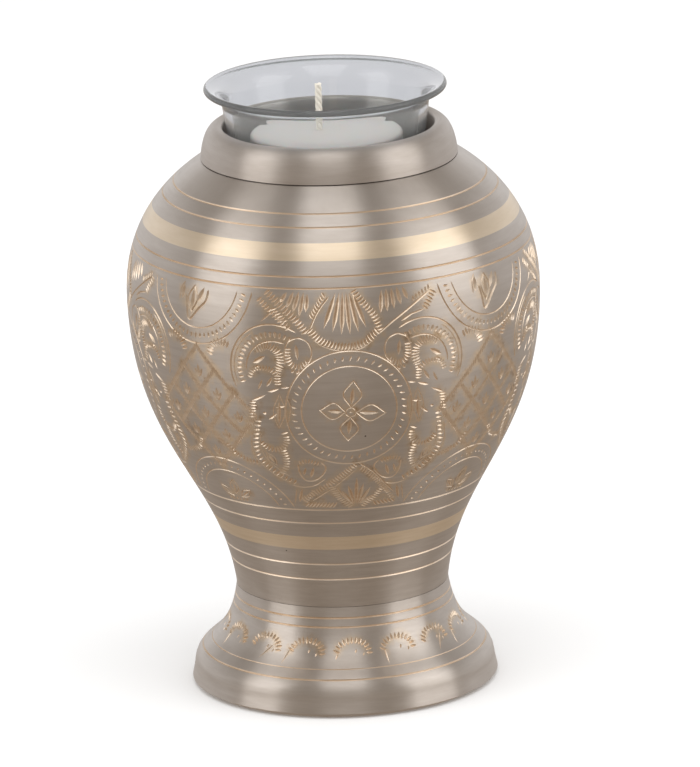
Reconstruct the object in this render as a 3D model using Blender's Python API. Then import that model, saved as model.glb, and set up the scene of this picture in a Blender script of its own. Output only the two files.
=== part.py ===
"""A small round urn of engraved metal, in metres with +Z up.

A hollow body stands on a flared foot. Its lid slips over the neck and sinks into it as a well, and the well
holds a glass cup with a candle. The origin is the centre of the foot's underside, and the middle of one
engraved medallion faces -Y.
"""
from bisect import bisect_right
from math import cos, hypot, pi, radians, sin

import bmesh
import bpy
from mathutils import Vector
from mathutils.geometry import delaunay_2d_cdt, interpolate_bezier

MM = 0.001

# Fineness of the faceted solids
METAL_STEPS = 26
GLASS_STEPS = 22
WICK_STEPS = 8
CURVE_SAMPLES = 90
BELLY_ROWS = 6
COMB_ROWS = 4
BODY_INSIDE_ROWS = 9
FOOT_INSIDE_ROWS = 7
ROW_MARGIN = 1.2 * MM
WELD_DISTANCE = 0.002 * MM
LAYOUT_TOLERANCE = 0.02 * MM

# The gap between pieces that touch, and the play of what drops in loosely
FIT_GAP = 0.3 * MM
CUP_PLAY = 1.5 * MM

# Body
BELLY_RADIUS = 51.53 * MM
BELLY_HEIGHT = 101.40 * MM
WAIST_RADIUS = 26.59 * MM
WAIST_HEIGHT = 25.50 * MM
SHOULDER_RADIUS = 32.0 * MM
SHOULDER_HEIGHT = 134.93 * MM
BODY_WALL = 1.6 * MM
SPIGOT_RADIUS = 24.6 * MM
SPIGOT_LENGTH = 5.0 * MM
NECK_WALL = 1.6 * MM
NECK_HEIGHT = 3.9 * MM

# How full the body's curves are: the lengths and slopes of their handles, as shares of their height
SHOULDER_SLOPE = radians(31.5)
SHOULDER_FULLNESS = 0.425
BELLY_FULLNESS_ABOVE = 0.443
BELLY_FULLNESS_BELOW = 0.514
WAIST_FULLNESS = 0.378
WAIST_SLOPE = radians(6.9)

# Foot
RIM_RADIUS = 38.42 * MM
RIM_WIDEST_HEIGHT = 1.2 * MM
RIM_TOP_RADIUS = 37.76 * MM
RIM_TOP_HEIGHT = 4.3 * MM
SEAT_RADIUS = 36.3 * MM
FOOT_WALL = 1.8 * MM
THROAT_FLARE = 0.80
THROAT_SLOPE = radians(7.6)
RIM_FLARE = 0.383
RIM_SLOPE = radians(1.9)

# Lid
COLLAR_RISE = 8.27 * MM
COLLAR_CREST_RADIUS = 27.9 * MM
COLLAR_ROUNDING = 1.4 * MM
LID_WALL = 1.6 * MM
WELL_DEPTH = 18.9 * MM

# Glass cup, candle and wick
CUP_MOUTH_RADIUS = 26.2 * MM
CUP_BASE_RADIUS = 22.4 * MM
CUP_HEIGHT = 28.75 * MM
CUP_WALL = 2.0 * MM
CUP_FLOOR = 2.6 * MM
LIP_REACH = 4.0 * MM
LIP_THICKNESS = 2.1 * MM
CUP_SHIFT = -0.5 * MM
CANDLE_RADIUS = 19.0 * MM
CANDLE_HEIGHT = 13.9 * MM
CANDLE_EDGE = 0.6 * MM
WICK_RADIUS = 0.9 * MM
WICK_LENGTH = 14.0 * MM
WICK_SUNK = 2.2 * MM
WICK_SHIFT = (-1.6 * MM, 1.5 * MM)

# Turned lines, as distances along the surface from the collar, the foot and the joint above the foot
SHOULDER_LINES = (8.7 * MM, 12.6 * MM, 25.3 * MM, 28.2 * MM)
SHOULDER_BAND = (16.8 * MM, 21.4 * MM)
WAIST_LINES = (7.7 * MM, 12.2 * MM, 25.7 * MM, 30.4 * MM)
WAIST_BAND = (16.8 * MM, 21.0 * MM)
FOOT_TOP_LINES = (2.75 * MM, 5.05 * MM)
FOOT_RIM_LINE = 8.7 * MM
LINE_WIDTH = 0.5 * MM
LINE_DEPTH = 0.2 * MM

# Engraving: four panels around the body and a row of combs around the foot
PANELS = 4
COMBS = 16
GROOVE_WIDTH = 0.7
GRAIN_WIDTH = 1.0
ENGRAVING_DEPTH = 0.4 * MM
DRAWING_HEIGHT = 63.2 * MM
DRAWING_WIDTH = 80.9 * MM
COMB_PITCH = 11.6 * MM
COMB_DROP = 3.2 * MM


class Outline:
    """A turned outline from its low end to its high end, read by the distance along it."""

    def __init__(self, points):
        self.points = [Vector(point) for point in points]
        self.along = [0.0]
        for low, high in zip(self.points, self.points[1:]):
            self.along.append(self.along[-1] + (high - low).length)
        self.length = self.along[-1]

    def read(self, distance):
        """The point (radius, height) at a distance, and the direction that points out of the surface there."""
        index = bisect_right(self.along, distance) - 1
        index = min(max(index, 0), len(self.points) - 2)
        low = self.points[index]
        step = self.points[index + 1] - low
        share = (distance - self.along[index]) / step.length
        outward = Vector((step.y, -step.x)).normalized()
        return low + step * share, outward

    def inset(self, distance, depth):
        """The point at a distance along the outline and a depth below it."""
        point, outward = self.read(distance)
        return point - outward * depth

    def with_lines(self, start, end, lines, plain):
        """Points from start to end, with a V-shaped turned line at each distance in lines."""
        stations = [(start, 0.0), (end, 0.0)]
        stations += [(distance, 0.0) for distance in plain]
        for line in lines:
            edges = (line - LINE_WIDTH / 2, line + LINE_WIDTH / 2)
            stations += [(edge, 0.0) for edge in edges if start < edge < end]
            if start < line < end:
                stations.append((line, LINE_DEPTH))
        return [self.inset(distance, depth) for distance, depth in sorted(stations)]


def tilted(length, angle_from_vertical):
    """A handle of a length that points down and outward at an angle from the vertical."""
    return Vector((length * sin(angle_from_vertical), -length * cos(angle_from_vertical)))


def body_outline():
    """From the waist up over the belly to the edge of the shoulder, where the collar rests."""
    waist = Vector((WAIST_RADIUS, WAIST_HEIGHT))
    belly = Vector((BELLY_RADIUS, BELLY_HEIGHT))
    shoulder = Vector((SHOULDER_RADIUS, SHOULDER_HEIGHT))
    low_rise = BELLY_HEIGHT - WAIST_HEIGHT
    high_rise = SHOULDER_HEIGHT - BELLY_HEIGHT
    waist_handle = waist - tilted(WAIST_FULLNESS * low_rise, -WAIST_SLOPE)
    belly_below = belly - Vector((0, BELLY_FULLNESS_BELOW * low_rise))
    belly_above = belly + Vector((0, BELLY_FULLNESS_ABOVE * high_rise))
    shoulder_run = SHOULDER_FULLNESS * high_rise
    shoulder_handle = shoulder + tilted(shoulder_run, pi / 2 - SHOULDER_SLOPE)
    low = interpolate_bezier(waist, waist_handle, belly_below, belly, CURVE_SAMPLES)
    high = interpolate_bezier(belly, belly_above, shoulder_handle, shoulder, CURVE_SAMPLES)
    return Outline(low + high[1:])


def foot_outline():
    """From the widest part of the rim up the flare to the throat, just under the body."""
    throat = Vector((WAIST_RADIUS, WAIST_HEIGHT - FIT_GAP))
    rim_top = Vector((RIM_TOP_RADIUS, RIM_TOP_HEIGHT))
    rise = throat.y - rim_top.y
    throat_handle = throat + tilted(THROAT_FLARE * rise, THROAT_SLOPE)
    rim_handle = rim_top - tilted(RIM_FLARE * rise, RIM_SLOPE)
    flare = interpolate_bezier(rim_top, rim_handle, throat_handle, throat, CURVE_SAMPLES)
    return Outline([Vector((RIM_RADIUS, RIM_WIDEST_HEIGHT))] + flare)


def spread(start, end, count):
    """Evenly spaced values from start to end."""
    return [start + (end - start) * index / (count - 1) for index in range(count)]


def turn(mesh, outline, steps):
    """Spin an open outline of (radius, height) points once around the Z axis."""
    verts = [mesh.verts.new((0, -radius, height)) for radius, height in outline]
    edges = [mesh.edges.new(pair) for pair in zip(verts, verts[1:])]
    bmesh.ops.spin(mesh, geom=verts + edges, cent=(0, 0, 0), axis=(0, 0, 1), angle=2 * pi, steps=steps)


def arc(centre, radius, start, end, count):
    """Points on an arc, with its angles in degrees from +X towards +Y."""
    angles = [radians(angle) for angle in spread(start, end, count)]
    return [(centre[0] + radius * cos(angle), centre[1] + radius * sin(angle)) for angle in angles]


def ring(centre, radius, count):
    """Points all the way round a circle, for a closed groove."""
    return arc(centre, radius, 0, 360, count + 1)[:-1]


def rays(centre, inner, outer, start, end, count):
    """Short cuts that stand across an arc, each from its inner to its outer end."""
    inner_ends = arc(centre, inner, start, end, count)
    outer_ends = arc(centre, outer, start, end, count)
    return [grain(low, high) for low, high in zip(inner_ends, outer_ends)]


def groove(path, width=GROOVE_WIDTH, closed=False):
    """A cut of even width along a path, which runs out in a point at each open end."""
    half_widths = [width / 2] * len(path)
    if not closed:
        half_widths[0] = half_widths[-1] = 0.0
    return list(path), half_widths, closed


def grain(start, end, width=GRAIN_WIDTH):
    """One push of the graver: pointed at both ends and widest in its middle."""
    middle = ((start[0] + end[0]) / 2, (start[1] + end[1]) / 2)
    return [start, middle, end], [0.0, width / 2, 0.0], False


def mirrored(cuts, axis=0.0):
    """The cuts with their mirror images about an upright line."""
    images = [([(2 * axis - x, y) for x, y in path], widths, closed) for path, widths, closed in cuts]
    return cuts + images


def medallion():
    """A four-petalled flower inside a ring with a row of short cuts along its inside."""
    cuts = [groove(ring((0, 0), 15.8, 14), closed=True)]
    cuts += rays((0, 0), 11.8, 14.6, 0, 324, 10)
    heart = (0.3, -0.5)
    for petal in range(4):
        angle = radians(90 * petal - 5.5)
        base = (heart[0] + 1.3 * cos(angle), heart[1] + 1.3 * sin(angle))
        tip = (heart[0] + 8.1 * cos(angle), heart[1] + 8.1 * sin(angle))
        cuts.append(grain(base, tip, width=2.6))
    return cuts


def fans():
    """Three fans that hang between the upper border and the medallion, with slanting bands between them."""
    middle = -1.0
    top = 31.6
    cuts = rays((middle, top + 1), 3.0, 10.6, 238, 302, 5)
    cuts.append(groove(arc((middle, top - 1), 12.4, 230, 310, 5), width=1.2))
    side = rays((-11.5, top + 3), 4.4, 7.9, 252, 288, 2)
    side.append(groove([(-11.6, 20.5), (-15.5, 25.0), (-19.5, 29.8)], width=1.2))
    return cuts + mirrored(side)


def scrolls():
    """The scrolls that frame the medallion on both sides, with their plumes, shells and beaded stems."""
    eye = (-18.4, 11.5)
    side = [groove(arc(eye, 11.2, 62, 215, 6), width=0.8)]
    side += rays((-20.6, 12.0), 3.2, 6.2, 0, 120, 3)
    side.append(grain((-11.0, 18.6), (-11.8, 13.4), width=1.4))
    side.append(grain((-22.8, 3.4), (-15.8, 5.9), width=1.4))
    for x, y in ((-22.9, -5.0), (-21.9, -14.0), (-16.2, -20.3)):
        side.append(grain((x - 1.0, y - 0.3), (x + 1.0, y + 0.3), width=1.6))
    side.append(grain((-12.4, -18.6), (-6.8, -18.6), width=1.4))
    return mirrored(side)


def fern():
    """A leaf of three blades under a gable of two slanting bands, on the lower border."""
    stalk = (1.6, -30.2)
    roof = (stalk[0], -15.9)
    cuts = rays(stalk, 1.2, 8.4, 55, 125, 3)
    slope = [groove([roof, (-4.4, -22.2), (-10.6, -28.2)], width=1.2)]
    return cuts + mirrored(slope, stalk[0])


def half_medallion(side):
    """Half of a medallion with a trefoil, on the upper border (side 1) or the lower one (side -1)."""
    centre = (0, 31.3 * side)
    first, last = (184, 356) if side > 0 else (4, 176)
    cuts = [groove(arc(centre, 15.8, first, last, 8))]
    cuts += rays(centre, 11.8, 14.6, first + 32, last - 32, 4)
    for lean in (-28, 0, 28):
        turned = radians((first + last) / 2 + lean)
        base = (7.6 * cos(turned), centre[1] + 7.6 * sin(turned))
        tip = (1.6 * cos(turned), centre[1] + 1.6 * sin(turned))
        cuts.append(grain(base, tip, width=1.6))
    return cuts


def lattice():
    """Slanting cuts that mark out rows of diamonds between two half medallions."""
    half_width = 5.0
    half_height = 5.35
    cuts = []
    for row, column in ((2, 0), (1, -1), (1, 1), (0, 0), (-1, -1), (-1, 1)):
        x = column * half_width
        y = 4.2 + row * half_height
        for side in (-1, 1):
            start = (x + side * 0.6, y - 0.6)
            end = (x + side * (half_width - 0.6), y - half_height + 0.6)
            cuts.append(grain(start, end))
    return cuts


def comb():
    """An arched row of short cuts with a longer one that curls down at its right end."""
    cuts = rays((0, -6.0), 4.4, 7.0, 118, 72, 3)
    cuts.append(groove([(3.6, 0.4), (4.8, -1.0), (4.0, -2.6)], width=0.9))
    return cuts


def edges_of(path, half_widths, closed):
    """The left and right edges of a cut along a path."""
    count = len(path)
    left = []
    right = []
    for index, (x, y) in enumerate(path):
        before = path[index - 1] if index or closed else path[0]
        after = path[(index + 1) % count] if index < count - 1 or closed else path[-1]
        run = (after[0] - before[0], after[1] - before[1])
        across = half_widths[index] / hypot(*run)
        left.append((x - run[1] * across, y + run[0] * across))
        right.append((x + run[1] * across, y - run[0] * across))
    return left, right


class Skin:
    """An engraved strip of a turned surface, laid out flat as (azimuth times a radius, distance along)."""

    def __init__(self, outline, start, end):
        self.outline = outline
        self.start = start
        self.end = end
        self.radius = max(point.x for point in outline.points)
        self.width = 2 * pi * self.radius
        self.verts = []
        self.edges = []
        self.cuts = []

    def lay(self, azimuth, middle, scale, x, y):
        """Where a point of a drawing falls on the strip, when the drawing is centred on an azimuth."""
        distance = middle + y * scale * MM
        point, _ = self.outline.read(distance)
        return (azimuth + x * scale * MM / point.x) * self.radius, distance

    def engrave(self, cut, azimuth, middle, scale):
        """Add one cut, and its copy across the seam if it crosses there."""
        path, half_widths, closed = cut
        sides = edges_of(path, half_widths, closed)
        laid = [[self.lay(azimuth, middle, scale, x, y) for x, y in line] for line in (path, *sides)]
        lowest = min(x for x, _ in laid[1] + laid[2])
        highest = max(x for x, _ in laid[1] + laid[2])
        self.add(laid, half_widths, closed, scale, 0.0)
        if lowest < -self.width / 2:
            self.add(laid, half_widths, closed, scale, self.width)
        if highest > self.width / 2:
            self.add(laid, half_widths, closed, scale, -self.width)

    def add(self, laid, half_widths, closed, scale, shift):
        """Put a cut's points and edges into the flat layout."""
        spine, left, right = [[(x + shift, y) for x, y in line] for line in laid]
        deepest = max(half_widths)
        rows = []
        for middle_point, left_point, right_point, half_width in zip(spine, left, right, half_widths):
            first = len(self.verts)
            self.verts.append((middle_point, ENGRAVING_DEPTH * half_width / deepest))
            if half_width:
                self.verts += [(left_point, 0.0), (right_point, 0.0)]
                rows.append((first, first + 1, first + 2))
            else:
                rows.append((first, first, first))
        following = rows[1:] + rows[:1] if closed else rows[1:]
        for row, after in zip(rows, following):
            self.edges += [pair for pair in zip(row, after)]
        self.cuts.append((spine, [width * scale * MM for width in half_widths], closed))

    def depth_at(self, x, y):
        """How deep the cuts go at a point where two of them cross."""
        squeeze = self.outline.read(y)[0].x / self.radius
        deepest = 0.0
        for spine, half_widths, closed in self.cuts:
            widest = max(half_widths)
            ends = list(zip(spine, half_widths))
            pairs = zip(ends, ends[1:] + ends[:1]) if closed else zip(ends, ends[1:])
            for (low, low_width), (high, high_width) in pairs:
                run = Vector(((high[0] - low[0]) * squeeze, high[1] - low[1]))
                away = Vector(((x - low[0]) * squeeze, y - low[1]))
                share = min(max(away.dot(run) / run.length_squared, 0.0), 1.0)
                half_width = low_width + (high_width - low_width) * share
                gap = (away - run * share).length
                if gap < half_width:
                    deepest = max(deepest, ENGRAVING_DEPTH * half_width / widest * (1 - gap / half_width))
        return deepest

    def clear_of_cuts(self, x, y, margin):
        """Whether a point keeps a margin from every point of the cuts."""
        return all(hypot(x - point[0], y - point[1]) > margin for point, _ in self.verts)

    def build(self, mesh, rows, steps):
        """Triangulate the strip between its borders and roll it back onto the turned surface."""
        columns = spread(-self.width / 2, self.width / 2, steps + 1)
        heights = spread(self.start, self.end, rows)
        free = []
        for height in heights[1:-1]:
            free += [(x, height) for x in columns[1:-1] if self.clear_of_cuts(x, height, ROW_MARGIN)]
        points = self.verts + [(point, 0.0) for point in free]
        edges = list(self.edges)
        border = [(x, self.start) for x in columns]
        border += [(columns[-1], height) for height in heights[1:]]
        border += [(x, self.end) for x in reversed(columns[:-1])]
        border += [(columns[0], height) for height in reversed(heights[1:-1])]
        first = len(points)
        points += [(point, 0.0) for point in border]
        edges += [(first + index, first + (index + 1) % len(border)) for index in range(len(border))]
        flat = [Vector(point) for point, _ in points]
        found = delaunay_2d_cdt(flat, edges, [], 0, LAYOUT_TOLERANCE, True)
        places, _, triangles, sources = found[:4]
        verts = []
        for place, source in zip(places, sources):
            known = [points[index][1] for index in source]
            depth = max(known) if known else self.depth_at(place.x, place.y)
            spot = self.outline.inset(place.y, depth)
            azimuth = place.x / self.radius
            verts.append(mesh.verts.new((spot.x * sin(azimuth), -spot.x * cos(azimuth), spot.y)))
        for triangle in triangles:
            if abs(sum(places[index].x for index in triangle)) / 3 < self.width / 2:
                mesh.faces.new([verts[index] for index in triangle])


def engraved_body(outline, low, high):
    """The strip of the body between its two borders, with the drawing repeated in each panel."""
    skin = Skin(outline, low, high)
    scale = min((high - low) / DRAWING_HEIGHT, 2 * pi * BELLY_RADIUS / PANELS / DRAWING_WIDTH)
    middle = (low + high) / 2
    facing = medallion() + fans() + scrolls() + fern()
    between = half_medallion(1) + half_medallion(-1) + lattice()
    for panel in range(PANELS):
        azimuth = 2 * pi * panel / PANELS - pi
        for cut in facing:
            skin.engrave(cut, azimuth, middle, scale)
        for cut in between:
            skin.engrave(cut, azimuth + pi / PANELS, middle, scale)
    return skin


def engraved_foot(outline, low, high):
    """The strip of the foot between its turned lines, with a comb in each place around it."""
    skin = Skin(outline, low, high)
    middle = high - COMB_DROP
    room = 2 * pi * outline.read(middle)[0].x / COMBS
    for place in range(COMBS):
        azimuth = 2 * pi * place / COMBS - pi
        for cut in comb():
            skin.engrave(cut, azimuth, middle, room / COMB_PITCH)
    return skin


def finish(name, mesh, material, shift=(0.0, 0.0)):
    """Close the seams, turn the faces outward and make the piece an object."""
    bmesh.ops.remove_doubles(mesh, verts=mesh.verts, dist=WELD_DISTANCE)
    loose = [vert for vert in mesh.verts if not vert.link_faces]
    bmesh.ops.delete(mesh, geom=loose, context="VERTS")
    bmesh.ops.recalc_face_normals(mesh, faces=mesh.faces)
    data = bpy.data.meshes.new(name)
    mesh.to_mesh(data)
    mesh.free()
    data.shade_smooth()
    data.set_sharp_from_angle(angle=radians(30))
    data.materials.append(material)
    piece = bpy.data.objects.new(name, data)
    piece.location = (shift[0], shift[1], 0.0)
    bpy.context.collection.objects.link(piece)
    return piece


def finish_of(name, colour, roughness, metallic=0.0, transmission=0.0):
    """A plain material with a colour, a roughness and a metallic value."""
    material = bpy.data.materials.new(name)
    material.use_nodes = True
    shader = material.node_tree.nodes["Principled BSDF"]
    shader.inputs["Base Color"].default_value = (*colour, 1.0)
    shader.inputs["Roughness"].default_value = roughness
    shader.inputs["Metallic"].default_value = metallic
    shader.inputs["Transmission Weight"].default_value = transmission
    return material


def neck_inner_radius():
    """The mouth of the body, just wider than the lid's well."""
    return well_outer_radius() + FIT_GAP


def well_inner_radius():
    """The well takes the cup with some play."""
    return cup_radius(collar_inner_height()) + CUP_PLAY


def well_outer_radius():
    """The outside of the lid's well."""
    return well_inner_radius() + LID_WALL


def collar_top_height():
    """The crest of the collar, which rests on the shoulder."""
    return SHOULDER_HEIGHT + COLLAR_RISE


def collar_inner_height():
    """The height at which the rounding of the collar meets the wall of the well."""
    return collar_top_height() - COLLAR_ROUNDING


def well_floor_height():
    """The top of the well's floor, on which the cup stands."""
    return collar_top_height() - WELL_DEPTH


def cup_base_height():
    """The underside of the cup."""
    return well_floor_height() + FIT_GAP


def cup_radius(height):
    """The outside of the cup's tapered wall."""
    share = (height - cup_base_height()) / (CUP_HEIGHT - LIP_THICKNESS)
    return CUP_BASE_RADIUS + (CUP_MOUTH_RADIUS - CUP_BASE_RADIUS) * share


def build_body(material):
    """A hollow vessel with a closed spigot below, an engraved belly and an open neck."""
    outline = body_outline()
    top = outline.length
    low_lines = WAIST_LINES
    high_lines = [top - distance for distance in SHOULDER_LINES]
    low_border = WAIST_LINES[-1] + LINE_WIDTH / 2
    high_border = high_lines[-1] - LINE_WIDTH / 2
    spigot_foot = WAIST_HEIGHT - SPIGOT_LENGTH
    mesh = bmesh.new()

    below = [Vector((0, spigot_foot)), Vector((SPIGOT_RADIUS, spigot_foot)), Vector((SPIGOT_RADIUS, WAIST_HEIGHT))]
    below += outline.with_lines(0.0, low_border, low_lines, WAIST_BAND)
    turn(mesh, below, METAL_STEPS)

    neck = neck_inner_radius()
    neck_top = SHOULDER_HEIGHT + NECK_HEIGHT
    above = outline.with_lines(high_border, top, high_lines, [top - distance for distance in SHOULDER_BAND])
    above += [Vector((neck + NECK_WALL, SHOULDER_HEIGHT)), Vector((neck + NECK_WALL, neck_top))]
    above.append(Vector((neck, neck_top)))
    under_shoulder = SHOULDER_HEIGHT - BODY_WALL
    above.append(Vector((neck, under_shoulder)))
    floor_step = WAIST_HEIGHT + BODY_WALL
    floor_radius = SPIGOT_RADIUS - BODY_WALL
    corner = 1.2 * BODY_WALL
    inside = [outline.inset(distance, BODY_WALL) for distance in spread(top - corner, corner, BODY_INSIDE_ROWS)]
    above += [point for point in inside if floor_step < point.y < under_shoulder and point.x > neck - BODY_WALL]
    above += [Vector((floor_radius, floor_step)), Vector((floor_radius, spigot_foot + BODY_WALL))]
    above.append(Vector((0, spigot_foot + BODY_WALL)))
    turn(mesh, above, METAL_STEPS)

    engraved_body(outline, low_border, high_border).build(mesh, BELLY_ROWS, METAL_STEPS)
    return finish("body", mesh, material)


def build_foot(material):
    """A hollow flared foot that stands on a flat ring and takes the body's spigot in its throat."""
    outline = foot_outline()
    top = outline.length
    throat = SPIGOT_RADIUS + FIT_GAP
    lines = [FOOT_RIM_LINE] + [top - distance for distance in FOOT_TOP_LINES]
    low_border = FOOT_RIM_LINE + LINE_WIDTH / 2
    high_border = min(lines[1:]) - LINE_WIDTH / 2
    mesh = bmesh.new()

    inside = [outline.inset(distance, FOOT_WALL) for distance in spread(0.0, top, FOOT_INSIDE_ROWS)]
    below = [Vector((throat, WAIST_HEIGHT - FIT_GAP)), Vector((throat, WAIST_HEIGHT - SPIGOT_LENGTH))]
    below += [point for point in reversed(inside) if point.x > throat and point.y > RIM_TOP_HEIGHT]
    below.append(Vector((SEAT_RADIUS - FOOT_WALL, 0)))
    below.append(Vector((SEAT_RADIUS, 0)))
    below += outline.with_lines(0.0, low_border, lines, [outline.along[1]])
    turn(mesh, below, METAL_STEPS)

    above = outline.with_lines(high_border, top, lines, [])
    above.append(Vector((throat, WAIST_HEIGHT - FIT_GAP)))
    turn(mesh, above, METAL_STEPS)

    engraved_foot(outline, low_border, high_border).build(mesh, COMB_ROWS, METAL_STEPS)
    return finish("foot", mesh, material)


def build_lid(material):
    """A rounded collar that slips over the neck, with a deep round well for the cup."""
    well_inner = well_inner_radius()
    well_outer = well_outer_radius()
    floor = well_floor_height()
    sleeve = neck_inner_radius() + NECK_WALL + FIT_GAP
    bottom = SHOULDER_HEIGHT + FIT_GAP
    recess = SHOULDER_HEIGHT + NECK_HEIGHT + FIT_GAP
    edge = Vector((SHOULDER_RADIUS, bottom))
    crest = Vector((COLLAR_CREST_RADIUS, collar_top_height()))
    rise = crest.y - edge.y
    edge_handle = edge + Vector((-0.05 * rise, 0.55 * rise))
    crest_handle = crest + Vector((0.30 * rise, 0))
    outside = interpolate_bezier(edge, edge_handle, crest_handle, crest, 7)
    inner_edge = Vector((well_inner, collar_inner_height()))
    inner_handle = Vector((well_inner, crest.y))
    rounding = interpolate_bezier(crest, inner_handle, inner_handle, inner_edge, 4)

    mesh = bmesh.new()
    section = [Vector((0, floor - LID_WALL)), Vector((well_outer, floor - LID_WALL))]
    section += [Vector((well_outer, recess)), Vector((sleeve, recess)), Vector((sleeve, bottom))]
    section += outside + rounding[1:]
    section += [Vector((well_inner, floor)), Vector((0, floor))]
    turn(mesh, section, METAL_STEPS)
    return finish("lid", mesh, material)


def build_cup(material):
    """A clear glass cup with a tapered wall and a thick rounded lip that spreads over the collar."""
    base = cup_base_height()
    top = base + CUP_HEIGHT
    lip_half = LIP_THICKNESS / 2
    under_lip = top - LIP_THICKNESS
    tip = Vector((CUP_MOUTH_RADIUS + LIP_REACH - lip_half, top - lip_half))
    wall_top = under_lip - LIP_THICKNESS * 0.6
    floor = base + CUP_FLOOR
    wall_foot = cup_radius(base + CUP_FLOOR / 2)

    outer = [Vector((0, base)), Vector((wall_foot - CUP_FLOOR / 2, base)), Vector((wall_foot, base + CUP_FLOOR / 2))]
    outer.append(Vector((cup_radius(collar_inner_height()), collar_inner_height())))
    outer.append(Vector((cup_radius(wall_top), wall_top)))
    outer.append(Vector((cup_radius(under_lip) + 0.8 * MM, under_lip - 0.3 * MM)))
    lip = [tip + lip_half * Vector((sin(angle), -cos(angle))) for angle in spread(0.0, pi, 6)]
    inner_top = wall_top - LIP_THICKNESS * 0.5
    flare_foot = Vector((cup_radius(inner_top) - CUP_WALL, inner_top))
    flare_low = flare_foot + Vector((0.15, 0.9)) * LIP_THICKNESS
    flare_high = lip[-1] + Vector((-1.1, -0.25)) * LIP_THICKNESS
    flare = interpolate_bezier(lip[-1], flare_high, flare_low, flare_foot, 5)
    inner = flare[1:]
    inner += [Vector((cup_radius(floor + CUP_WALL) - CUP_WALL, floor + CUP_WALL))]
    inner += [Vector((cup_radius(floor) - CUP_WALL - 0.8 * MM, floor)), Vector((0, floor))]

    mesh = bmesh.new()
    turn(mesh, outer + lip + inner, GLASS_STEPS)
    return finish("glass_cup", mesh, material, (CUP_SHIFT, 0.0))


def candle_foot():
    """The underside of the candle, on the floor of the cup."""
    return cup_base_height() + CUP_FLOOR + FIT_GAP


def build_candle(material):
    """A low round candle with a small hole in which its wick stands."""
    foot = candle_foot()
    top = foot + CANDLE_HEIGHT
    hole = WICK_RADIUS + FIT_GAP
    mesh = bmesh.new()
    section = [Vector((0, foot)), Vector((CANDLE_RADIUS - CANDLE_EDGE, foot))]
    section += [Vector((CANDLE_RADIUS, foot + CANDLE_EDGE)), Vector((CANDLE_RADIUS, top - CANDLE_EDGE))]
    section.append(Vector((CANDLE_RADIUS - CANDLE_EDGE, top)))
    turn(mesh, section, GLASS_STEPS)
    rim = [edge for edge in mesh.edges if edge.is_boundary and edge.verts[0].co.z > top - CANDLE_EDGE / 2]
    lowered = Vector((*WICK_SHIFT, top - WICK_SUNK))
    bottom = bmesh.ops.create_circle(mesh, cap_ends=True, radius=hole, segments=WICK_STEPS)["verts"]
    bmesh.ops.translate(mesh, verts=bottom, vec=lowered)
    loop = [edge for edge in bottom[0].link_faces[0].edges]
    sides = bmesh.ops.extrude_edge_only(mesh, edges=loop)["geom"]
    raised = [item for item in sides if isinstance(item, bmesh.types.BMVert)]
    bmesh.ops.translate(mesh, verts=raised, vec=(0, 0, WICK_SUNK))
    mouth = [item for item in sides if isinstance(item, bmesh.types.BMEdge) and item.is_boundary]
    bmesh.ops.triangle_fill(mesh, edges=rim + mouth, use_beauty=True)
    return finish("candle", mesh, material, (CUP_SHIFT, 0.0))


def build_wick(material):
    """A stiff upright wick that stands in the candle's hole."""
    foot = candle_foot() + CANDLE_HEIGHT - WICK_SUNK + FIT_GAP
    mesh = bmesh.new()
    section = [Vector((0, foot)), Vector((WICK_RADIUS, foot)), Vector((WICK_RADIUS, foot + WICK_LENGTH))]
    section.append(Vector((0, foot + WICK_LENGTH)))
    turn(mesh, section, WICK_STEPS)
    return finish("wick", mesh, material, (CUP_SHIFT + WICK_SHIFT[0], WICK_SHIFT[1]))


def main():
    for old in list(bpy.data.objects):
        bpy.data.objects.remove(old, do_unlink=True)
    pewter = finish_of("brushed_pewter", (0.52, 0.49, 0.46), 0.35, metallic=1.0)
    glass = finish_of("clear_glass", (0.90, 0.93, 0.93), 0.03, transmission=1.0)
    wax = finish_of("white_wax", (0.86, 0.86, 0.84), 0.45)
    cotton = finish_of("cotton_wick", (0.88, 0.83, 0.74), 0.85)
    build_foot(pewter)
    build_body(pewter)
    build_lid(pewter)
    build_cup(glass)
    build_candle(wax)
    build_wick(cotton)


main()
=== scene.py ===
# %% [markdown]
# # An engraved urn with a candle in its lid
#
# The real urn is brass, spun on a lathe and plated so that it looks like pewter. Lines, bands and a
# flower pattern are then cut through the plating, so the yellow brass shows in them. This lesson dresses
# the solids of such an urn: it builds every surface again from the same outline, cuts the pattern into it
# as real V-shaped grooves, brushes the metal, and sets up a small photo studio around it.

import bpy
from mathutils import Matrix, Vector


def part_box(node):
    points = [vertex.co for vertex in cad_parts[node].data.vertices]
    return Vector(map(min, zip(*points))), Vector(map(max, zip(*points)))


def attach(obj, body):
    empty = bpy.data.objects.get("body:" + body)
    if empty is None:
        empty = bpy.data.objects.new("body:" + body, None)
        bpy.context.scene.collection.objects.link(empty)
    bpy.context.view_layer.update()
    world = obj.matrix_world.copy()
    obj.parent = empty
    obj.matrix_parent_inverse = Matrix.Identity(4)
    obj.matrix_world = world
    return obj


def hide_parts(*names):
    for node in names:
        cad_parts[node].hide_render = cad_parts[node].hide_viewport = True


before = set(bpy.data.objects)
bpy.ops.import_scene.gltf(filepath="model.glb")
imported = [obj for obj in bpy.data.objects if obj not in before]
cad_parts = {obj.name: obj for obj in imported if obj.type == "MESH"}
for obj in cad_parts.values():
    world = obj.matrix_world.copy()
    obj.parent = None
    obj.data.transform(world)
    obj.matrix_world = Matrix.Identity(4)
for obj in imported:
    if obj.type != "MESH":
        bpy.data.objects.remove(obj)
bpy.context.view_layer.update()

# %% Tools of the trade
from math import atan2, ceil, cos, degrees, hypot, pi, radians, sin

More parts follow.
